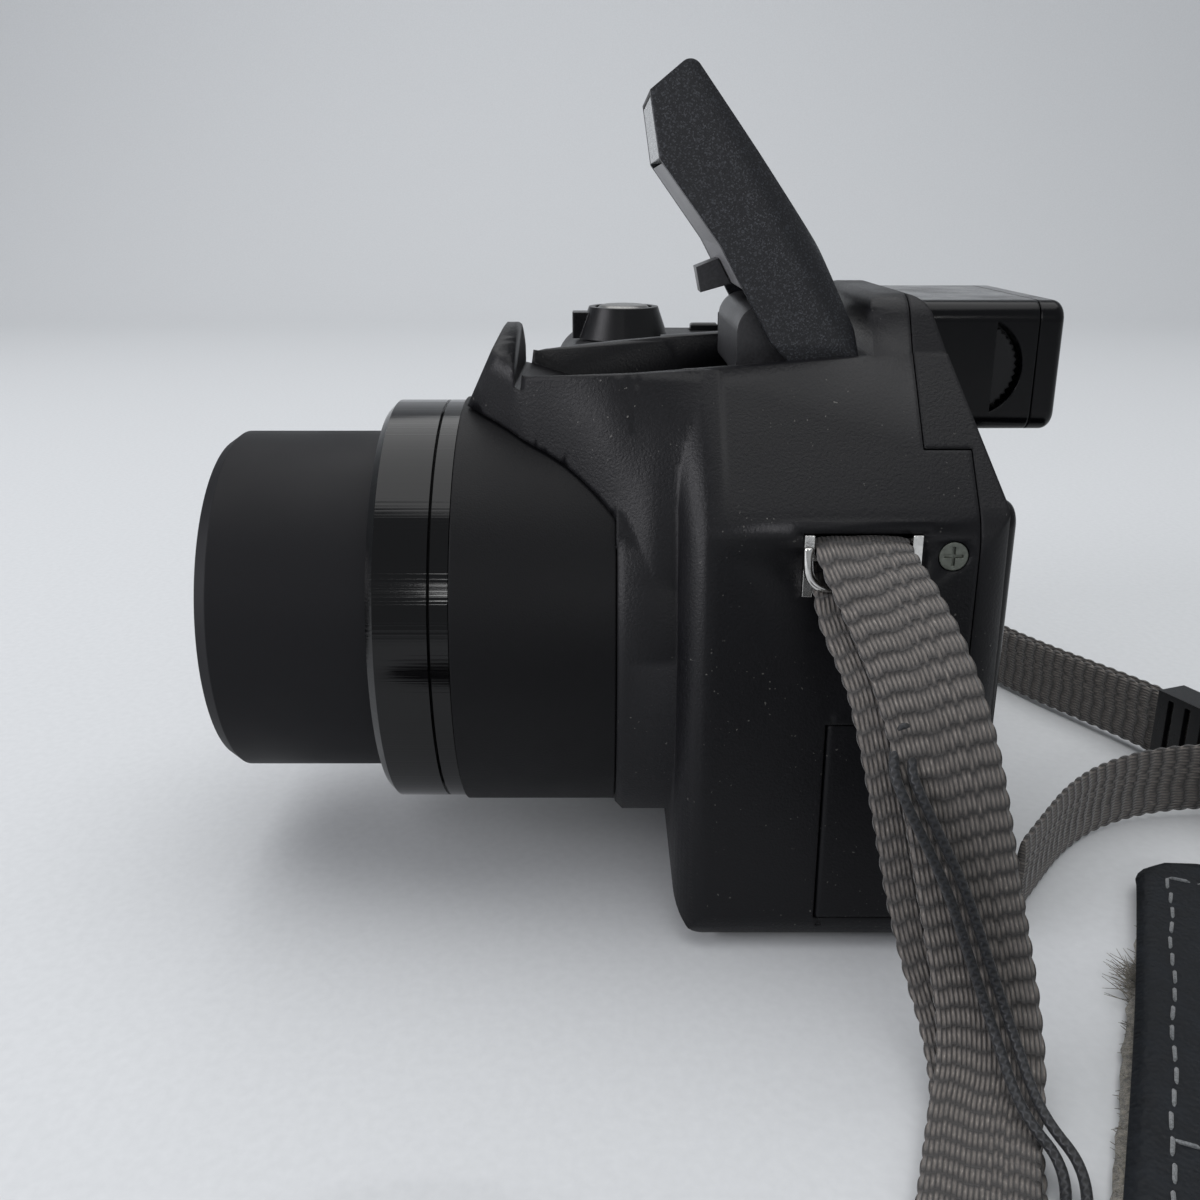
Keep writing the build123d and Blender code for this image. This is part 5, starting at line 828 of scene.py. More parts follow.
slope = (SLOPE_TOP - SHOULDER).normalized()
inward = Vector((-slope.z, 0, slope.x))
face_place = Vector((0, BODY_FRONT - BEFORE_FACE, 0))
corner = [face_place + inward * -OVERSHOOT, face_place + inward * CHEEK_RADIUS]
for i in range(CHEEK_STEPS + 1):
    turn = math.pi / 2 * i / CHEEK_STEPS
    corner.append(Vector((0, BODY_FRONT + CHEEK_RADIUS * (1 - math.cos(turn)), 0))
                  + inward * (CHEEK_RADIUS * (1 - math.sin(turn))))
corner.append(Vector((0, BODY_FRONT + CHEEK_RADIUS, 0)) + inward * -OVERSHOOT)
cheek = prism("cheek", corner, SHOULDER - slope * BELOW_SHOULDER, SLOPE_TOP - slope * BELOW_TOP)

trade(case_front, "DIFFERENCE", [around, cheek])
trade(case_front, "UNION", flares)
case_front.data.materials.clear()
case_front.data.polygons.foreach_set("use_smooth", [True] * len(case_front.data.polygons))
case_front.data.set_sharp_from_angle(angle=SHARP_ANGLE)
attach(case_front, "body")
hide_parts("front_cover")
print("shaped front cover:", len(case_front.data.polygons), "faces")

# %% [markdown]
# The strap lug is bent from one strip of steel, and its end curls over the webbing. The solid
# has only the straight part, so the curl is a short tube along a spline of its own.

# %% Curled end of the lug
TONGUE_PATH = [(0.0312, -0.0037, 0.0482), (0.0315, -0.0037, 0.0466), (0.0317, -0.0035, 0.0452),
               (0.0319, -0.0027, 0.0443), (0.0320, -0.0015, 0.0440), (0.0318, -0.0004, 0.0441)]
TONGUE_RADIUS = 0.00055
TONGUE_SIDES = 16

tongue_line = smooth_line([Vector(p) for p in TONGUE_PATH], CORD_STEP)
lug_tongue = build_tube("lug_tongue", tongue_line, TONGUE_RADIUS, TONGUE_SIDES)
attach(lug_tongue, "body")
print("lug tongue made")

# %% [markdown]
# Marks on the controls are pad-printed ink, a few hundredths of a millimetre thick: plain
# numbers on the dial, arrows on the rocker. A picture of them could lie on the surface. Text
# and small filled curves are easier to change, and as meshes they have the ink's thickness.

# %% Helpers for printed marks
INK = 0.00004


def from_curve(name, curve, place, turn=0.0, tilt=0.0):
    """A curve or text made into a mesh, lifted to its place on the camera."""
    curve.extrude = INK
    holder = bpy.data.objects.new(name, curve)
    mesh = bpy.data.meshes.new_from_object(holder)
    bpy.data.objects.remove(holder)
    mesh.name = name
    upright = Matrix.Translation(place) @ Matrix.Rotation(tilt, 4, "X")
    mesh.transform(upright @ Matrix.Rotation(turn, 4, "Z"))
    return in_scene(name, mesh)


def joined(name, pieces, body):
    """Several small meshes as one piece that rides on a body."""
    verts, faces = [], []
    for piece in pieces:
        base = len(verts)
        verts += [tuple(v.co) for v in piece.data.vertices]
        faces += [tuple(base + i for i in polygon.vertices) for polygon in piece.data.polygons]
        bpy.data.objects.remove(piece)
    whole = make_piece(name, verts, faces, smooth=False)
    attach(whole, body)
    return whole


def figure(text, size):
    curve = bpy.data.curves.new(text, "FONT")
    curve.body, curve.size, curve.align_x, curve.align_y = text, size, "CENTER", "CENTER"
    return curve


def arrowhead(size):
    """A small filled triangle that points along Y."""
    curve = bpy.data.curves.new("arrow", "CURVE")
    curve.dimensions, curve.fill_mode = "2D", "BOTH"
    spline = curve.splines.new("POLY")
    spline.points.add(2)
    for place, (x, y) in zip(spline.points, ((-0.8, -0.5), (0.8, -0.5), (0.0, 0.7))):
        place.co = (x * size, y * size, 0, 1)
    spline.use_cyclic_u = True
    return curve


print("ink is", INK * 1000, "mm thick")

# %% [markdown]
# The figures stand in a ring on top of the dial, each turned with its place, and the arrows on
# the four sides of the rocker. Each set becomes one piece that rides on its control, because
# ink can't move on its own.

# %% Figures and arrows
DIAL_MARKS = ["1", "2", "3", "4", "5", "6", "7", "8"]
FIGURE_SIZE = 0.0026
FIGURE_CIRCLE = 0.0064
ARROW_SIZE = 0.0009
ARROW_CIRCLE = 0.0068

dial_low, dial_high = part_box("mode_dial")
dial_middle = Vector([(a + b) / 2 for a, b in zip(dial_low, dial_high)])
marks = []
for i, text in enumerate(DIAL_MARKS):
    turn = 2 * math.pi * i / len(DIAL_MARKS)
    spot = Vector((dial_middle.x - FIGURE_CIRCLE * math.sin(turn),
                   dial_middle.y + FIGURE_CIRCLE * math.cos(turn), dial_high[2]))
    marks.append(from_curve("figure", figure(text, FIGURE_SIZE), spot, turn))
dial_figures = joined("dial_figures", marks, "dial")

pad_low, pad_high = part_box("four_way_pad")
pad_centre = Vector([(a + b) / 2 for a, b in zip(pad_low, pad_high)])
arrows = []
for i in range(4):
    turn = math.pi / 2 * i
    spot = Vector((pad_centre.x + ARROW_CIRCLE * math.sin(turn), pad_high[1],
                   pad_centre.z + ARROW_CIRCLE * math.cos(turn)))
    arrows.append(from_curve("arrow", arrowhead(ARROW_SIZE), spot, turn, math.pi / 2))
pad_arrows = joined("pad_arrows", arrows, "direction_pad")
print("printed marks:", len(marks) + len(arrows))

# %% [markdown]
# A finish is a small network of nodes that ends in one shader. Each recipe below adds the
# nodes of one kind of finish, and gives back what feeds the shader. One helper turns a hex
# colour, as a designer writes it, to the linear values that light needs. Another adds a node,
# sets it, and links what feeds it.

# %% Helpers for finishes
MM = 1000


def colour(code):
    """An sRGB hex colour as linear values."""
    values = [int(code[i:i + 2], 16) / 255 for i in (1, 3, 5)]
    linear = [v / 12.92 if v <= 0.04045 else ((v + 0.055) / 1.055) ** 2.4 for v in values]
    return (*linear, 1.0)


def scaled(code, factor):
    """A hex colour made lighter or darker by a factor."""
    values = [min(255, round(int(code[i:i + 2], 16) * factor)) for i in (1, 3, 5)]
    return colour("#" + "".join(f"{v:02x}" for v in values))


def add_node(tree, kind, inputs, **settings):
    """Add a node, set it, and feed its inputs with values, sockets, or nodes' first outputs."""
    node = tree.nodes.new("ShaderNode" + kind)
    for name, value in settings.items():
        setattr(node, name, value)
    # Several sockets can share a name. The first enabled one is meant.
    by_name = {s.name: s for s in list(node.inputs)[::-1] if s.enabled}
    for name, value in inputs.items():
        socket = node.inputs[name] if isinstance(name, int) else by_name[name]
        if isinstance(value, bpy.types.Node):
            value = next(s for s in value.outputs if s.enabled)
        if isinstance(value, bpy.types.NodeSocket):
            tree.links.new(value, socket)
        else:
            socket.default_value = value
    return node


def finish(name, recipe, *choices, **more):
    """A material: its recipe adds the nodes, and tells what feeds the one shader."""
    material = bpy.data.materials.new(name)
    material.use_nodes = True
    tree = material.node_tree
    tree.nodes.clear()
    add = partial(add_node, tree)
    place = add("TexCoord", {}).outputs["Object"]
    shader = add("BsdfPrincipled", recipe(add, place, *choices, **more))
    add("OutputMaterial", {"Surface": shader})
    return material


print("helpers ready")

# %% [markdown]
# The case is moulded ABS, a tough plastic with an IOR of about 1.5. The mould is spark-eroded,
# which leaves a fine even grain: it scatters light, so black plastic looks dark grey. Handling
# leaves broad patches that shine a little more, and a few pale specks of dust. An image could
# hold all that, but noise in real millimetres has no seams and suits every piece. The real
# grain is about a tenth of a millimetre, too fine to show: it is drawn two to three times as wide.

# %% Moulded plastics
PATCH_MM = 14.0
MOTE_MM = 0.42
DUSTY_MM = 9.0


def moulded(add, place, tint, roughness, grain_mm, depth_mm, specular=0.35, dust=0.0, edge_mm=0.25):
    grain = add("TexNoise", {"Vector": place, "Scale": MM / grain_mm, "Detail": 3.0, "Roughness": 0.6})
    patches = add("TexNoise", {"Vector": place, "Scale": MM / PATCH_MM})
    peaks = add("MapRange", {"Value": grain, "From Min": 0.35, "From Max": 0.75})
    base = add("Mix", {"Factor": peaks, "A": colour(tint), "B": scaled(tint, 1.35)}, data_type="RGBA")
    if dust:
        motes = add("TexNoise", {"Vector": place, "Scale": MM / MOTE_MM, "Detail": 1.0, "Roughness": 0.4})
        dots = add("MapRange", {"Value": motes, "From Min": 0.75, "From Max": 0.77, "To Max": dust})
        dusty = add("TexNoise", {"Vector": place, "Scale": MM / DUSTY_MM})
        zones = add("MapRange", {"Value": dusty, "From Min": 0.45, "From Max": 0.65})
        specks = add("Math", {0: dots, 1: zones}, operation="MULTIPLY")
        base = add("Mix", {"Factor": specks, "A": base, "B": colour("#8d8b86")}, data_type="RGBA")
    sheen = add("MapRange", {"Value": patches, "From Min": 0.3, "From Max": 0.7,
                             "To Min": roughness - 0.05, "To Max": roughness + 0.05})
    glint = add("MapRange", {"Value": grain, "From Min": 0.3, "From Max": 0.7,
                             "To Min": -0.04, "To Max": 0.04})
    rough = add("Math", {0: sheen, 1: glint}, operation="ADD")
    soft_edge = add("Bevel", {"Radius": edge_mm / MM}, samples=4)
    bumps = add("Bump", {"Height": grain, "Distance": depth_mm / MM, "Normal": soft_edge})
    return {"Base Color": base, "Roughness": rough, "IOR": 1.5, "Specular IOR Level": specular,
            "Normal": bumps}


# Spark-eroded case: a dark grey that never mirrors, with dust and softly broken edges.
case_abs = finish("case_abs", moulded, "#0b0b0e", 0.42, 0.32, 0.05, specular=0.24, dust=0.4, edge_mm=0.6)
# Finer grain on the barrel: an even, quiet black.
barrel_abs = finish("barrel_abs", moulded, "#0b0b0d", 0.48, 0.22, 0.03, specular=0.18)
# Matt paint on the running tube: the flattest black, so that nothing glares beside the lens.
tube_paint = finish("tube_matt_paint", moulded, "#0d0d10", 0.55, 0.12, 0.01, specular=0.2)
# Satin controls: a soft highlight that shows their round edges.
satin_abs = finish("satin_abs", moulded, "#0c0c0e", 0.34, 0.3, 0.012, specular=0.3)
# Unseen inner mouldings: plain and dull.
inner_abs = finish("inner_abs", moulded, "#131314", 0.6, 0.3, 0.02)
# Pad-printed ink: off-white and matt, with a little grain from the plastic under it.
ink = finish("pad_print_ink", moulded, "#b9bab8", 0.55, 0.2, 0.005)
# The flash's grey underside: pale beside the black head, so the head's edge reads as a line.
underside_abs = finish("grey_abs", moulded, "#6c6c6e", 0.45, 0.3, 0.02)
# The knuckle and the hook: a dark satin that shows a soft streak along the knuckle.
knuckle_abs = finish("satin_grey_abs", moulded, "#2b2b2d", 0.34, 0.3, 0.01, specular=0.45)
# Battery shell: plain blue-grey plastic.
battery_shell = finish("battery_shell", moulded, "#3c4046", 0.4, 0.3, 0.01)
# Grip rubber: coarse grain and almost no shine, so it looks soft to hold.
grip_rubber = finish("moulded_rubber", moulded, "#121213", 0.72, 0.7, 0.16, specular=0.25, edge_mm=0.4)
print("moulded plastics ready")

# %% [markdown]
# The eyepiece block and the screen frame come from a mould that was polished instead. They
# mirror the room, and fine handling marks break the mirror softly. That could be dirt on the
# colour, but on gloss it is the roughness that the eye reads, so the marks go there.

# %% Polished plastics
SMEAR_MM = 6.0
MARK_MM = 0.5


def polished(add, place, tint, roughness, specular=0.5):
    smear = add("TexNoise", {"Vector": place, "Scale": MM / SMEAR_MM, "Detail": 4.0, "Roughness": 0.6})
    marks = add("TexNoise", {"Vector": place, "Scale": MM / MARK_MM})
    haze = add("MapRange", {"Value": smear, "From Min": 0.35, "From Max": 0.7,
                            "To Min": roughness, "To Max": roughness + 0.1})
    scuffs = add("MapRange", {"Value": marks, "From Min": 0.6, "From Max": 0.75, "To Max": 0.06})
    rough = add("Math", {0: haze, 1: scuffs}, operation="ADD")
    soft_edge = add("Bevel", {"Radius": 0.3 / MM}, samples=4)
    waves = add("Bump", {"Height": smear, "Distance": 0.01 / MM, "Normal": soft_edge})
    return {"Base Color": colour(tint), "Roughness": rough, "IOR": 1.5, "Specular IOR Level": specular,
            "Normal": waves}


# Polished ABS: deep black with sharp, slightly wavy reflections.
gloss_abs = finish("gloss_abs", polished, "#030305", 0.14, 0.2)
# The screen frame: a little duller from being touched.
screen_abs = finish("screen_frame_abs", polished, "#070708", 0.2, 0.25)
# Glass over the screens: the sharpest mirror on the camera.
screen_glass = finish("screen_glass", polished, "#050607", 0.04, 0.6)
# Glass over the sensor: a blue-green depth.
sensor_glass = finish("sensor_glass", polished, "#14202a", 0.1, 0.6)
print("polished finishes ready")

# %% [markdown]
# The flash head is sprayed with black paint that holds aluminium flakes. Each flake lies at
# its own angle, so a few catch the light and most stay dark. Real flakes are some hundredths
# of a millimetre wide. They are drawn 0.16 mm wide here, the least that shows.

# %% Paint with metal flakes
FLAKE_MM = 0.16


def flaked(add, place):
    flakes = add("TexVoronoi", {"Vector": place, "Scale": MM / FLAKE_MM})
    lot = add("SeparateColor", {"Color": flakes.outputs["Color"]})
    sparkle = add("MapRange", {"Value": lot, "From Min": 0.6, "From Max": 1.0})
    base = add("Mix", {"Factor": sparkle, "A": colour("#17181c"), "B": colour("#33353a")},
               data_type="RGBA")
    rough = add("MapRange", {"Value": sparkle, "To Min": 0.5, "To Max": 0.36})
    soft_edge = add("Bevel", {"Radius": 0.4 / MM}, samples=4)
    grit = add("Bump", {"Height": flakes, "Distance": 0.02 / MM, "Normal": soft_edge})
    return {"Base Color": base, "Metallic": 0.35, "Roughness": rough, "IOR": 1.5,
            "Specular IOR Level": 0.5, "Normal": grit}


# Flake paint: a speckled dark grey that glitters at its edges.
flash_paint = finish("flash_flake_paint", flaked)
print("flake paint ready")

# %% [markdown]
# The rings on the barrel are polished black with fine hairlines cut along the lens axis. They
# smear each reflection round the ring, which is why a ring shows bright bands. Anisotropy
# would do the same smear, but here the lines themselves can be seen, so they are drawn: a
# noise that changes only with the angle round the lens.

# %% Hairlined rings
RING_RADIUS_MM = 25.6
HAIRLINE_MM = 0.3
WANDER_MM = 5.0


def hairlined(add, place):
    split = add("SeparateXYZ", {"Vector": place})
    height = add("Math", {0: split.outputs["Z"], 1: LENS_Z}, operation="SUBTRACT")
    angle = add("Math", {0: height, 1: split.outputs["X"]}, operation="ARCTAN2")
    round_mm = add("Math", {0: angle, 1: RING_RADIUS_MM}, operation="MULTIPLY")
    lines = add("TexNoise", {"W": round_mm, "Scale": 1 / HAIRLINE_MM}, noise_dimensions="1D")
    wander = add("TexNoise", {"Vector": place, "Scale": MM / WANDER_MM})
    drift = add("Math", {0: wander, 1: 0.2}, operation="MULTIPLY")
    surface = add("Math", {0: lines, 1: drift}, operation="ADD")
    rough = add("MapRange", {"Value": lines, "From Min": 0.3, "From Max": 0.7,
                             "To Min": 0.05, "To Max": 0.12})
    cuts = add("Bump", {"Height": surface, "Distance": 0.015 / MM})
    return {"Base Color": colour("#020203"), "Roughness": rough, "IOR": 1.5,
            "Specular IOR Level": 0.35, "Normal": cuts}


# Hairlined gloss: black, with bright bands that break into fine lines.
ring_gloss = finish("hairlined_ring", hairlined)
print("ring finish ready")

# %% [markdown]
# Metals are told by colour and roughness alone, so a metal keeps the shader's own IOR. The
# lugs are chrome-plated steel, the screws dull zinc-plated steel, and the tripod socket is
# turned brass under nickel. Wear varies both the tint and the shine.

# %% Metals
def metal(add, place, tint, roughness, grain_mm, depth_mm):
    wear = add("TexNoise", {"Vector": place, "Scale": MM / grain_mm, "Detail": 4.0, "Roughness": 0.6})
    dulled = add("MapRange", {"Value": wear, "From Min": 0.3, "From Max": 0.8})
    base = add("Mix", {"Factor": dulled, "A": colour(tint), "B": scaled(tint, 0.8)}, data_type="RGBA")
    rough = add("MapRange", {"Value": wear, "From Min": 0.3, "From Max": 0.75,
                             "To Min": roughness, "To Max": roughness + 0.12})
    soft_edge = add("Bevel", {"Radius": 0.15 / MM}, samples=4)
    pits = add("Bump", {"Height": wear, "Distance": depth_mm / MM, "Normal": soft_edge})
    return {"Base Color": base, "Metallic": 1.0, "Roughness": rough, "Normal": pits}


# Chrome plate: almost a mirror, the one bright glint on the black side.
chrome = finish("chrome_plate", metal, "#dcdbd8", 0.06, 1.2, 0.01)
# Zinc plate: grey-green and dull.
zinc = finish("zinc_plate", metal, "#7e827a", 0.42, 0.5, 0.02)
# Nickel plate: warm and satin.
nickel = finish("nickel_plate", metal, "#b9b6ae", 0.28, 0.4, 0.01)
# Satin nickel on the shutter button: darker, with a round soft glow.
satin_nickel = finish("satin_nickel_plate", metal, "#8b8a88", 0.26, 0.4, 0.01)
print("metals ready")

# %% [markdown]
# Glass is clear but never only clear: a lens carries a thin coating that tints what it mirrors
# green or violet. The flash window is ribbed polycarbonate, which spreads the light, and its
# ribs are a sine wave 0.8 mm apart.

# %% Lens glass and flash window
DUST_MM = 1.5


def coated_glass(add, place, tint):
    dust = add("TexNoise", {"Vector": place, "Scale": MM / DUST_MM})
    rough = add("MapRange", {"Value": dust, "From Min": 0.5, "From Max": 0.8, "To Max": 0.05})
    return {"Base Color": colour("#f4f6f5"), "Transmission Weight": 1.0, "Roughness": rough,
            "IOR": 1.6, "Coat Weight": 0.6, "Coat Tint": colour(tint)}


RIB_SPACING_MM = 0.8


def ribbed_window(add, place):
    split = add("SeparateXYZ", {"Vector": place})
    phase = add("Math", {0: split.outputs["Z"], 1: 2 * math.pi * MM / RIB_SPACING_MM}, operation="MULTIPLY")
    ribs = add("Math", {0: phase}, operation="SINE")
    scuffs = add("TexNoise", {"Vector": place, "Scale": MM / MARK_MM})
    rough = add("MapRange", {"Value": scuffs, "From Min": 0.3, "From Max": 0.7,
                             "To Min": 0.12, "To Max": 0.25})
    bumps = add("Bump", {"Height": ribs, "Distance": 0.05 / MM})
    return {"Base Color": colour("#c9cccc"), "Transmission Weight": 0.6, "Roughness": rough,
            "IOR": 1.58, "Normal": bumps}


# Coated lens glass: clear, with a green mirror tint.
lens_glass = finish("coated_lens_glass", coated_glass, "#7fae9b")
# Eyepiece glass: the same with a violet tint.
eye_glass = finish("eyepiece_glass", coated_glass, "#9aa6c8")
# Flash window: milky, its ribs drawing level lines of light.
flash_window = finish("ribbed_polycarbonate", ribbed_window)
print("glass ready")

# %% [markdown]
# A circuit board is woven glass fibre under green lacquer, with copper tracks between. It is
# inside the case, so a brick pattern is enough: its joints stand for the tracks.

# %% Circuit board
BOARD_BRICKS = 320.0


def circuit(add, place):
    tracks = add("TexBrick", {"Vector": place, "Scale": BOARD_BRICKS, "Mortar Size": 0.012,
                              "Color1": colour("#1f5134"), "Color2": colour("#235a3a"),
                              "Mortar": colour("#3c7f4e")})
    raised = add("Bump", {"Height": tracks.outputs["Fac"], "Distance": 0.03 / MM})
    return {"Base Color": tracks.outputs["Color"], "Roughness": 0.35, "IOR": 1.5, "Normal": raised}


# Lacquered board: green, with a faint grid of tracks.
circuit_board = finish("circuit_board", circuit)
print("board ready")

# %% [markdown]
# Webbing is woven from shiny polyester yarns. Each yarn rises over the weft as a short loop:
# its crown catches the light, and the valley where it dives is in shade and nearly black. Both
# are painted into the base colour, lighter on the crowns and darker in the valleys: a painted
# highlight and painted shade, with painted glints on the highest crowns. The UV map runs in
# metres across and along the strap, so the yarns follow each bend. A loop's height is the crown
# of its yarn times its place in the rib, and each yarn starts a little early or late.

# %% Webbing
YARN_MM = 0.45
RIB_MM = RIB_PITCH * MM
# Single fibres are far finer than can show, so they are drawn a fifth of a millimetre wide.
FIBRES_PER_METRE = (5200, 1500, 1)


def woven(add, _):
    uv = add("UVMap", {}, uv_map="weave")
    split = add("SeparateXYZ", {"Vector": uv})
    yarn = add("Math", {0: split.outputs["X"], 1: MM / YARN_MM}, operation="MULTIPLY")
    number = add("Math", {0: yarn}, operation="FLOOR")
    lot = add("TexWhiteNoise", {"W": number}, noise_dimensions="1D")
    early = add("Math", {0: lot, 1: 0.3}, operation="MULTIPLY")
    rib = add("Math", {0: split.outputs["Y"], 1: MM / RIB_MM}, operation="MULTIPLY")
    along = add("Math", {0: rib, 1: early}, operation="ADD")
    waves = []
    for turns in (yarn, along):
        phase = add("Math", {0: turns, 1: math.pi}, operation="MULTIPLY")
        wave = add("Math", {0: phase}, operation="SINE")
        waves.append(add("Math", {0: wave}, operation="ABSOLUTE"))
    crown = add("Math", {0: waves[0], 1: 0.6}, operation="POWER")
    loop = add("Math", {0: waves[1], 1: 0.8}, operation="POWER")
    stretched = add("Mapping", {"Vector": uv, "Scale": FIBRES_PER_METRE})
    fibre = add("TexNoise", {"Vector": stretched, "Scale": 1.0})
    height = add("Math", {0: crown, 1: loop}, operation="MULTIPLY")
    strands = add("MapRange", {"Value": fibre, "From Min": 0.25, "From Max": 0.75,
                               "To Min": 0.55, "To Max": 1.2})
    shade = add("Math", {0: height, 1: strands}, operation="MULTIPLY")
    # The valleys are painted darker and the crowns lighter in the base colour: painted shade and a painted
    # highlight.
    lit = add("MapRange", {"Value": shade, "From Min": 0.22, "From Max": 0.95})
    base = add("Mix", {"Factor": lit, "A": colour("#3b3938"), "B": colour("#756f6a")}, data_type="RGBA")
    # Painted glints: the palest fibres on the highest crowns are painted near white, where single yarns
    # shine.
    bright = add("MapRange", {"Value": fibre, "From Min": 0.6, "From Max": 0.74})
    high = add("MapRange", {"Value": height, "From Min": 0.55, "From Max": 0.95})
    painted_glints = add("Math", {0: bright, 1: high}, operation="MULTIPLY")
    painted_glints = add("Math", {0: painted_glints, 1: 0.55}, operation="MULTIPLY")
    base = add("Mix", {"Factor": painted_glints, "A": base, "B": colour("#aaa59e")}, data_type="RGBA")
    rough = add("MapRange", {"Value": fibre, "From Min": 0.3, "From Max": 0.7,
                             "To Min": 0.5, "To Max": 0.75})
    fuzz = add("Math", {0: fibre, 1: 0.35}, operation="MULTIPLY")
    surface = add("Math", {0: height, 1: fuzz}, operation="ADD")
    loops = add("Bump", {"Height": surface, "Distance": 0.22 / MM})
    return {"Base Color": base, "Roughness": rough, "IOR": 1.5, "Specular IOR Level": 0.3,
            "Sheen Weight": 0.25, "Sheen Roughness": 0.5, "Normal": loops}


# Polyester webbing: warm grey ribs, with painted shade in the valleys and painted glints where single yarns
# shine.
webbing_finish = finish("polyester_webbing", woven)
for piece, _ in strap_pieces.values():
    piece.data.materials.append(webbing_finish)
print("webbing ready")

# %% [markdown]
# The cord is braided: two sets of yarns wind round it in opposite ways and cross. Each set is
# a sine wave that climbs as it goes round, and the higher of the two waves is the yarn on top.

# %% Braided cord
BRAID_MM = 0.9
BRAID_YARNS = 3.0
LINT_MM = 0.22


def braided(add, place):
    uv = add("UVMap", {}, uv_map="braid")
    split = add("SeparateXYZ", {"Vector": uv})
    run = add("Math", {0: split.outputs["Y"], 1: MM / BRAID_MM}, operation="MULTIPLY")
    turn = add("Math", {0: split.outputs["X"], 1: BRAID_YARNS}, operation="MULTIPLY")
    sets = []
    for way in ("ADD", "SUBTRACT"):
        climb = add("Math", {0: run, 1: turn}, operation=way)
        phase = add("Math", {0: climb, 1: 2 * math.pi}, operation="MULTIPLY")
        sets.append(add("Math", {0: phase}, operation="SINE"))
    plait = add("Math", {0: sets[0], 1: sets[1]}, operation="MAXIMUM")
    # The yarn on top is painted lighter and the one beneath darker: a painted highlight and painted shade
    # on the plait.
    lit = add("MapRange", {"Value": plait, "From Min": 0.2, "From Max": 1.0})
    base = add("Mix", {"Factor": lit, "A": colour("#05070a"), "B": colour("#12151b")}, data_type="RGBA")
    lint = add("TexNoise", {"Vector": place, "Scale": MM / LINT_MM})
    specks = add("MapRange", {"Value": lint, "From Min": 0.7, "From Max": 0.78, "To Max": 0.22})
    base = add("Mix", {"Factor": specks, "A": base, "B": colour("#7b7f86")}, data_type="RGBA")
    rough = add("MapRange", {"Value": plait, "From Min": -1.0, "From Max": 1.0,
                             "To Min": 0.7, "To Max": 0.45})
    yarns = add("Bump", {"Height": plait, "Distance": 0.03 / MM})
    return {"Base Color": base, "Roughness": rough, "IOR": 1.5, "Sheen Weight": 0.15, "Normal": yarns}


# Braided cord: near black, with a fine plait in painted highlight and shade, and a little lint.
cap_cord.data.materials.append(finish("braided_cord", braided))
print("cord ready")

# %% [markdown]
# The pad's top is coated leather: pebbles about half a millimetre wide, broken by fine creases.
# The cell texture, in its smooth form, gives round pebbles, where plain noise would give lumps
# of all sizes. The pad's backing is felt, and its stitches are thread: both are tangled fibres,
# painted lighter where they stand out, a painted highlight on the raised fibres.

# %% Leather, felt and thread
PEBBLE_MM = 0.55
CREASE_MM = 2.6


def leather(add, place):
    pebbles = add("TexVoronoi", {"Vector": place, "Scale": MM / PEBBLE_MM}, feature="SMOOTH_F1")
    crease = add("TexNoise", {"Vector": place, "Scale": MM / CREASE_MM, "Detail": 5.0, "Roughness": 0.65})
    worn = add("MapRange", {"Value": crease, "From Min": 0.35, "From Max": 0.7})
    base = add("Mix", {"Factor": worn, "A": colour("#0c0f13"), "B": colour("#181c21")}, data_type="RGBA")
    rough = add("MapRange", {"Value": crease, "From Min": 0.3, "From Max": 0.7,
                             "To Min": 0.5, "To Max": 0.66})
    folds = add("Math", {0: crease, 1: 0.8}, operation="MULTIPLY")
    height = add("Math", {0: pebbles, 1: folds}, operation="ADD")
    grain = add("Bump", {"Height": height, "Distance": 0.12 / MM})
    return {"Base Color": base, "Roughness": rough, "IOR": 1.5, "Specular IOR Level": 0.25,
            "Normal": grain}


def fibrous(add, place, dark, light, size_mm, depth_mm):
    tangle = add("TexNoise", {"Vector": place, "Scale": MM / size_mm, "Detail": 5.0, "Roughness": 0.75})
    # Fibres that stand out are painted lighter in the base colour: a painted highlight.
    stand = add("MapRange", {"Value": tangle, "From Min": 0.35, "From Max": 0.65})
    base = add("Mix", {"Factor": stand, "A": colour(dark), "B": colour(light)}, data_type="RGBA")
    fuzz = add("Bump", {"Height": tangle, "Distance": depth_mm / MM})
    return {"Base Color": base, "Roughness": 0.9, "Sheen Weight": 0.4, "Normal": fuzz}


# Coated leather: blue-black pebbles with a dull, broken highlight.
pad_leather.data.materials.append(finish("coated_leather", leather))
# Felt: grey-brown and rough, with no shine, and a painted highlight on its raised fibres.
felt_finish = finish("grey_felt", fibrous, "#2f2d2a", "#8d8778", 0.5, 0.3)
pad_felt.data.materials.append(felt_finish)
pad_fray.data.materials.append(felt_finish)
# Thread: a cool grey line of dashes on the dark leather.
pad_stitches.data.materials.append(finish("grey_thread", fibrous, "#45484b", "#808384", 0.25, 0.05))
print("pad finishes ready")

# %% [markdown]
# Each solid already has an empty slot for a material. A table of finishes and the pieces that
# wear them is easy to read and to change, and the last line prints any piece that was missed.

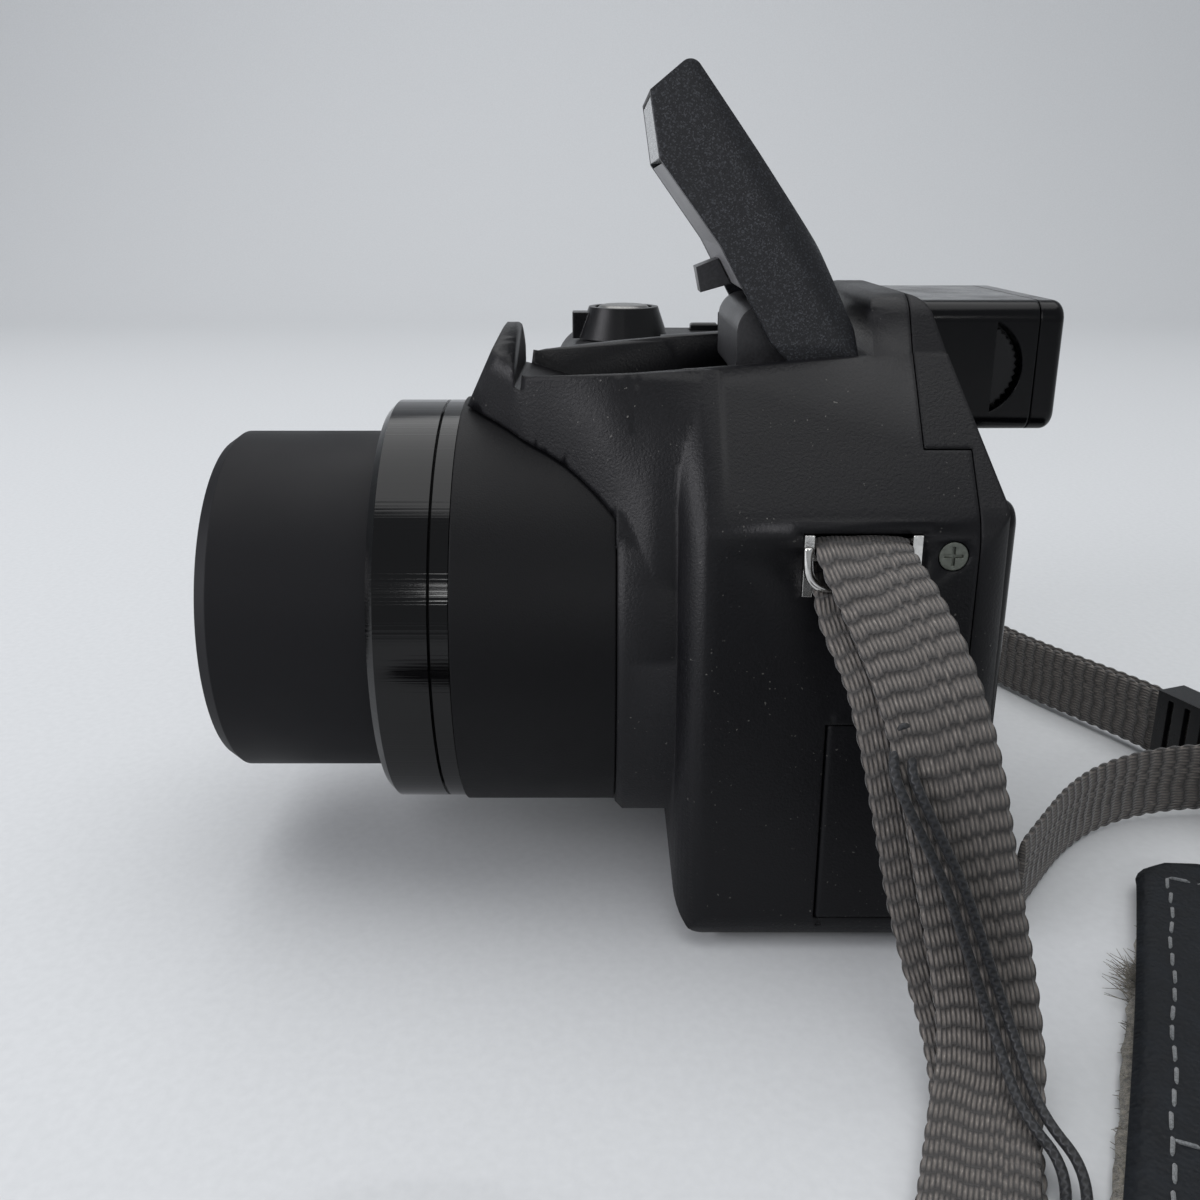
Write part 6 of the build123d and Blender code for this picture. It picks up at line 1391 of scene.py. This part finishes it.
# %% Give each rigid piece its finish
FINISHES = {
    case_abs: ["front_cover", "rear_cover", "top_plate", "base_plate", "terminal_door", "battery_door"],
    grip_rubber: ["grip_rubber"],
    barrel_abs: ["fixed_barrel"],
    tube_paint: ["zoom_tube"],
    ring_gloss: ["front_ring", "rear_ring"],
    flash_paint: ["flash_head"],
    knuckle_abs: ["flash_knuckle", "flash_latch_hook"],
    underside_abs: ["flash_underside"],
    gloss_abs: ["viewfinder_housing", "eyepiece_frame"],
    screen_abs: ["lcd_module"],
    satin_abs: ["zoom_lever", "mode_dial", "power_switch", "burst_button", "flash_button", "four_way_pad",
                "menu_button", "display_button", "delete_button", "diopter_wheel", "lens_cap",
                "strap_sliders", "lens_bezel"],
    inner_abs: ["lens_chassis", "iris_shutter", "battery_holder", "terminal_sockets", "memory_card"],
    battery_shell: ["battery"],
    chrome: ["strap_lug_left", "strap_lug_right", "flash_reflector"],
    nickel: ["tripod_socket"],
    satin_nickel: ["shutter_button"],
    zinc: ["body_screws", "flash_hinge_pin"],
    lens_glass: ["front_lens", "zoom_lens_group", "stabiliser_lens", "focus_lens"],
    eye_glass: ["eyepiece_lens", "flash_tube"],
    flash_window: ["flash_window"],
    circuit_board: ["main_board", "flash_board"],
    screen_glass: ["lcd_window", "viewfinder_display"],
    sensor_glass: ["image_sensor"],
}
REPLACED = {"strap_left", "strap_right", "strap_pad", "cap_cord"}

dressed = set()
for material, names in FINISHES.items():
    for name in names:
        solid_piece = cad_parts[name].data
        solid_piece.materials.clear()
        solid_piece.materials.append(material)
        dressed.add(name)
for piece, material in ((lug_tongue, chrome), (case_front, case_abs), (dial_figures, ink),
                        (pad_arrows, ink)):
    piece.data.materials.append(material)
print("left without a finish:", sorted(set(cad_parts) - dressed - REPLACED))

# %% [markdown]
# The camera stands on a sheet of matt paper, as in a small studio: it runs level, curves up
# behind and goes on as a wall, so no edge or horizon shows. A plane and a wall would meet in
# a line; the quarter round between them hides it.

# %% Sheet of paper
FLOOR_FRONT = 6.0
FLOOR_BACK = -0.7
SWEEP_RADIUS = 0.35
SWEEP_TOP = 1.5
SWEEP_HALF = 6.0
SWEEP_STEPS = 24
PULP_MM = 1.2


def paper_sweep(name):
    profile = [(FLOOR_FRONT, 0.0)]
    for i in range(SWEEP_STEPS + 1):
        turn = math.pi / 2 * i / SWEEP_STEPS
        profile.append((FLOOR_BACK - SWEEP_RADIUS * math.sin(turn), SWEEP_RADIUS * (1 - math.cos(turn))))
    profile.append((FLOOR_BACK - SWEEP_RADIUS, SWEEP_TOP))
    verts = [(x, y, z) for x, z in profile for y in (-SWEEP_HALF, SWEEP_HALF)]
    return make_piece(name, verts, [(i, i + 2, i + 3, i + 1) for i in range(0, len(verts) - 2, 2)])


def matt_paper(add, place):
    pulp = add("TexNoise", {"Vector": place, "Scale": MM / PULP_MM, "Detail": 4.0})
    cloudy = add("MapRange", {"Value": pulp, "From Min": 0.3, "From Max": 0.7})
    base = add("Mix", {"Factor": cloudy, "A": colour("#cfd1d3"), "B": colour("#d4d6d8")}, data_type="RGBA")
    return {"Base Color": base, "Roughness": 0.7, "Specular IOR Level": 0.2}


table = paper_sweep("paper_sweep")
# Matt paper: pale and even, with no highlight, so it only holds the shadow.
table.data.materials.append(finish("matt_paper", matt_paper))
print("paper laid")

# %% [markdown]
# The light is a large soft lamp overhead with a weaker one from the lens side, as under a
# window. A thin lamp draws the level streak along the lens barrel. The room around is one
# pale grey, which fills the shadows.

# %% Light
LAMPS = [
    ("overhead", (-0.15, -0.02, 0.92), (-0.05, 0.10, 0.03), (1.1, 1.3), 7.6, "#fdfdfd"),
    ("front_fill", (0.30, -0.85, 0.32), (0.0, 0.0, 0.05), (0.5, 0.4), 4.2, "#fbfaff"),
    ("streak", (0.55, 0.02, 0.26), (0.0, -0.04, 0.03), (0.30, 0.03), 0.35, "#ffffff"),
]
ROOM_LEVEL = 0.6

for name, place, target, size, watts, tint in LAMPS:
    lamp = bpy.data.lights.new(name, "AREA")
    lamp.shape = "RECTANGLE"
    lamp.size, lamp.size_y = size
    lamp.energy = watts
    lamp.color = colour(tint)[:3]
    holder = in_scene(name, lamp)
    holder.location = place
    holder.rotation_euler = (Vector(target) - Vector(place)).to_track_quat("-Z", "Y").to_euler()

room = bpy.data.worlds.new("room")
bpy.context.scene.world = room
room.use_nodes = True
room.node_tree.nodes.clear()
walls = add_node(room.node_tree, "Background", {"Color": colour("#c9ccd0"), "Strength": ROOM_LEVEL})
add_node(room.node_tree, "OutputWorld", {"Surface": walls})
bpy.context.scene.view_settings.view_transform = "Standard"
print("lamps:", len(LAMPS))

# %% [markdown]
# The dressed camera must keep the size of the solids. The last line brings the scene up to date.

# %% Update the scene
bpy.context.view_layer.update()
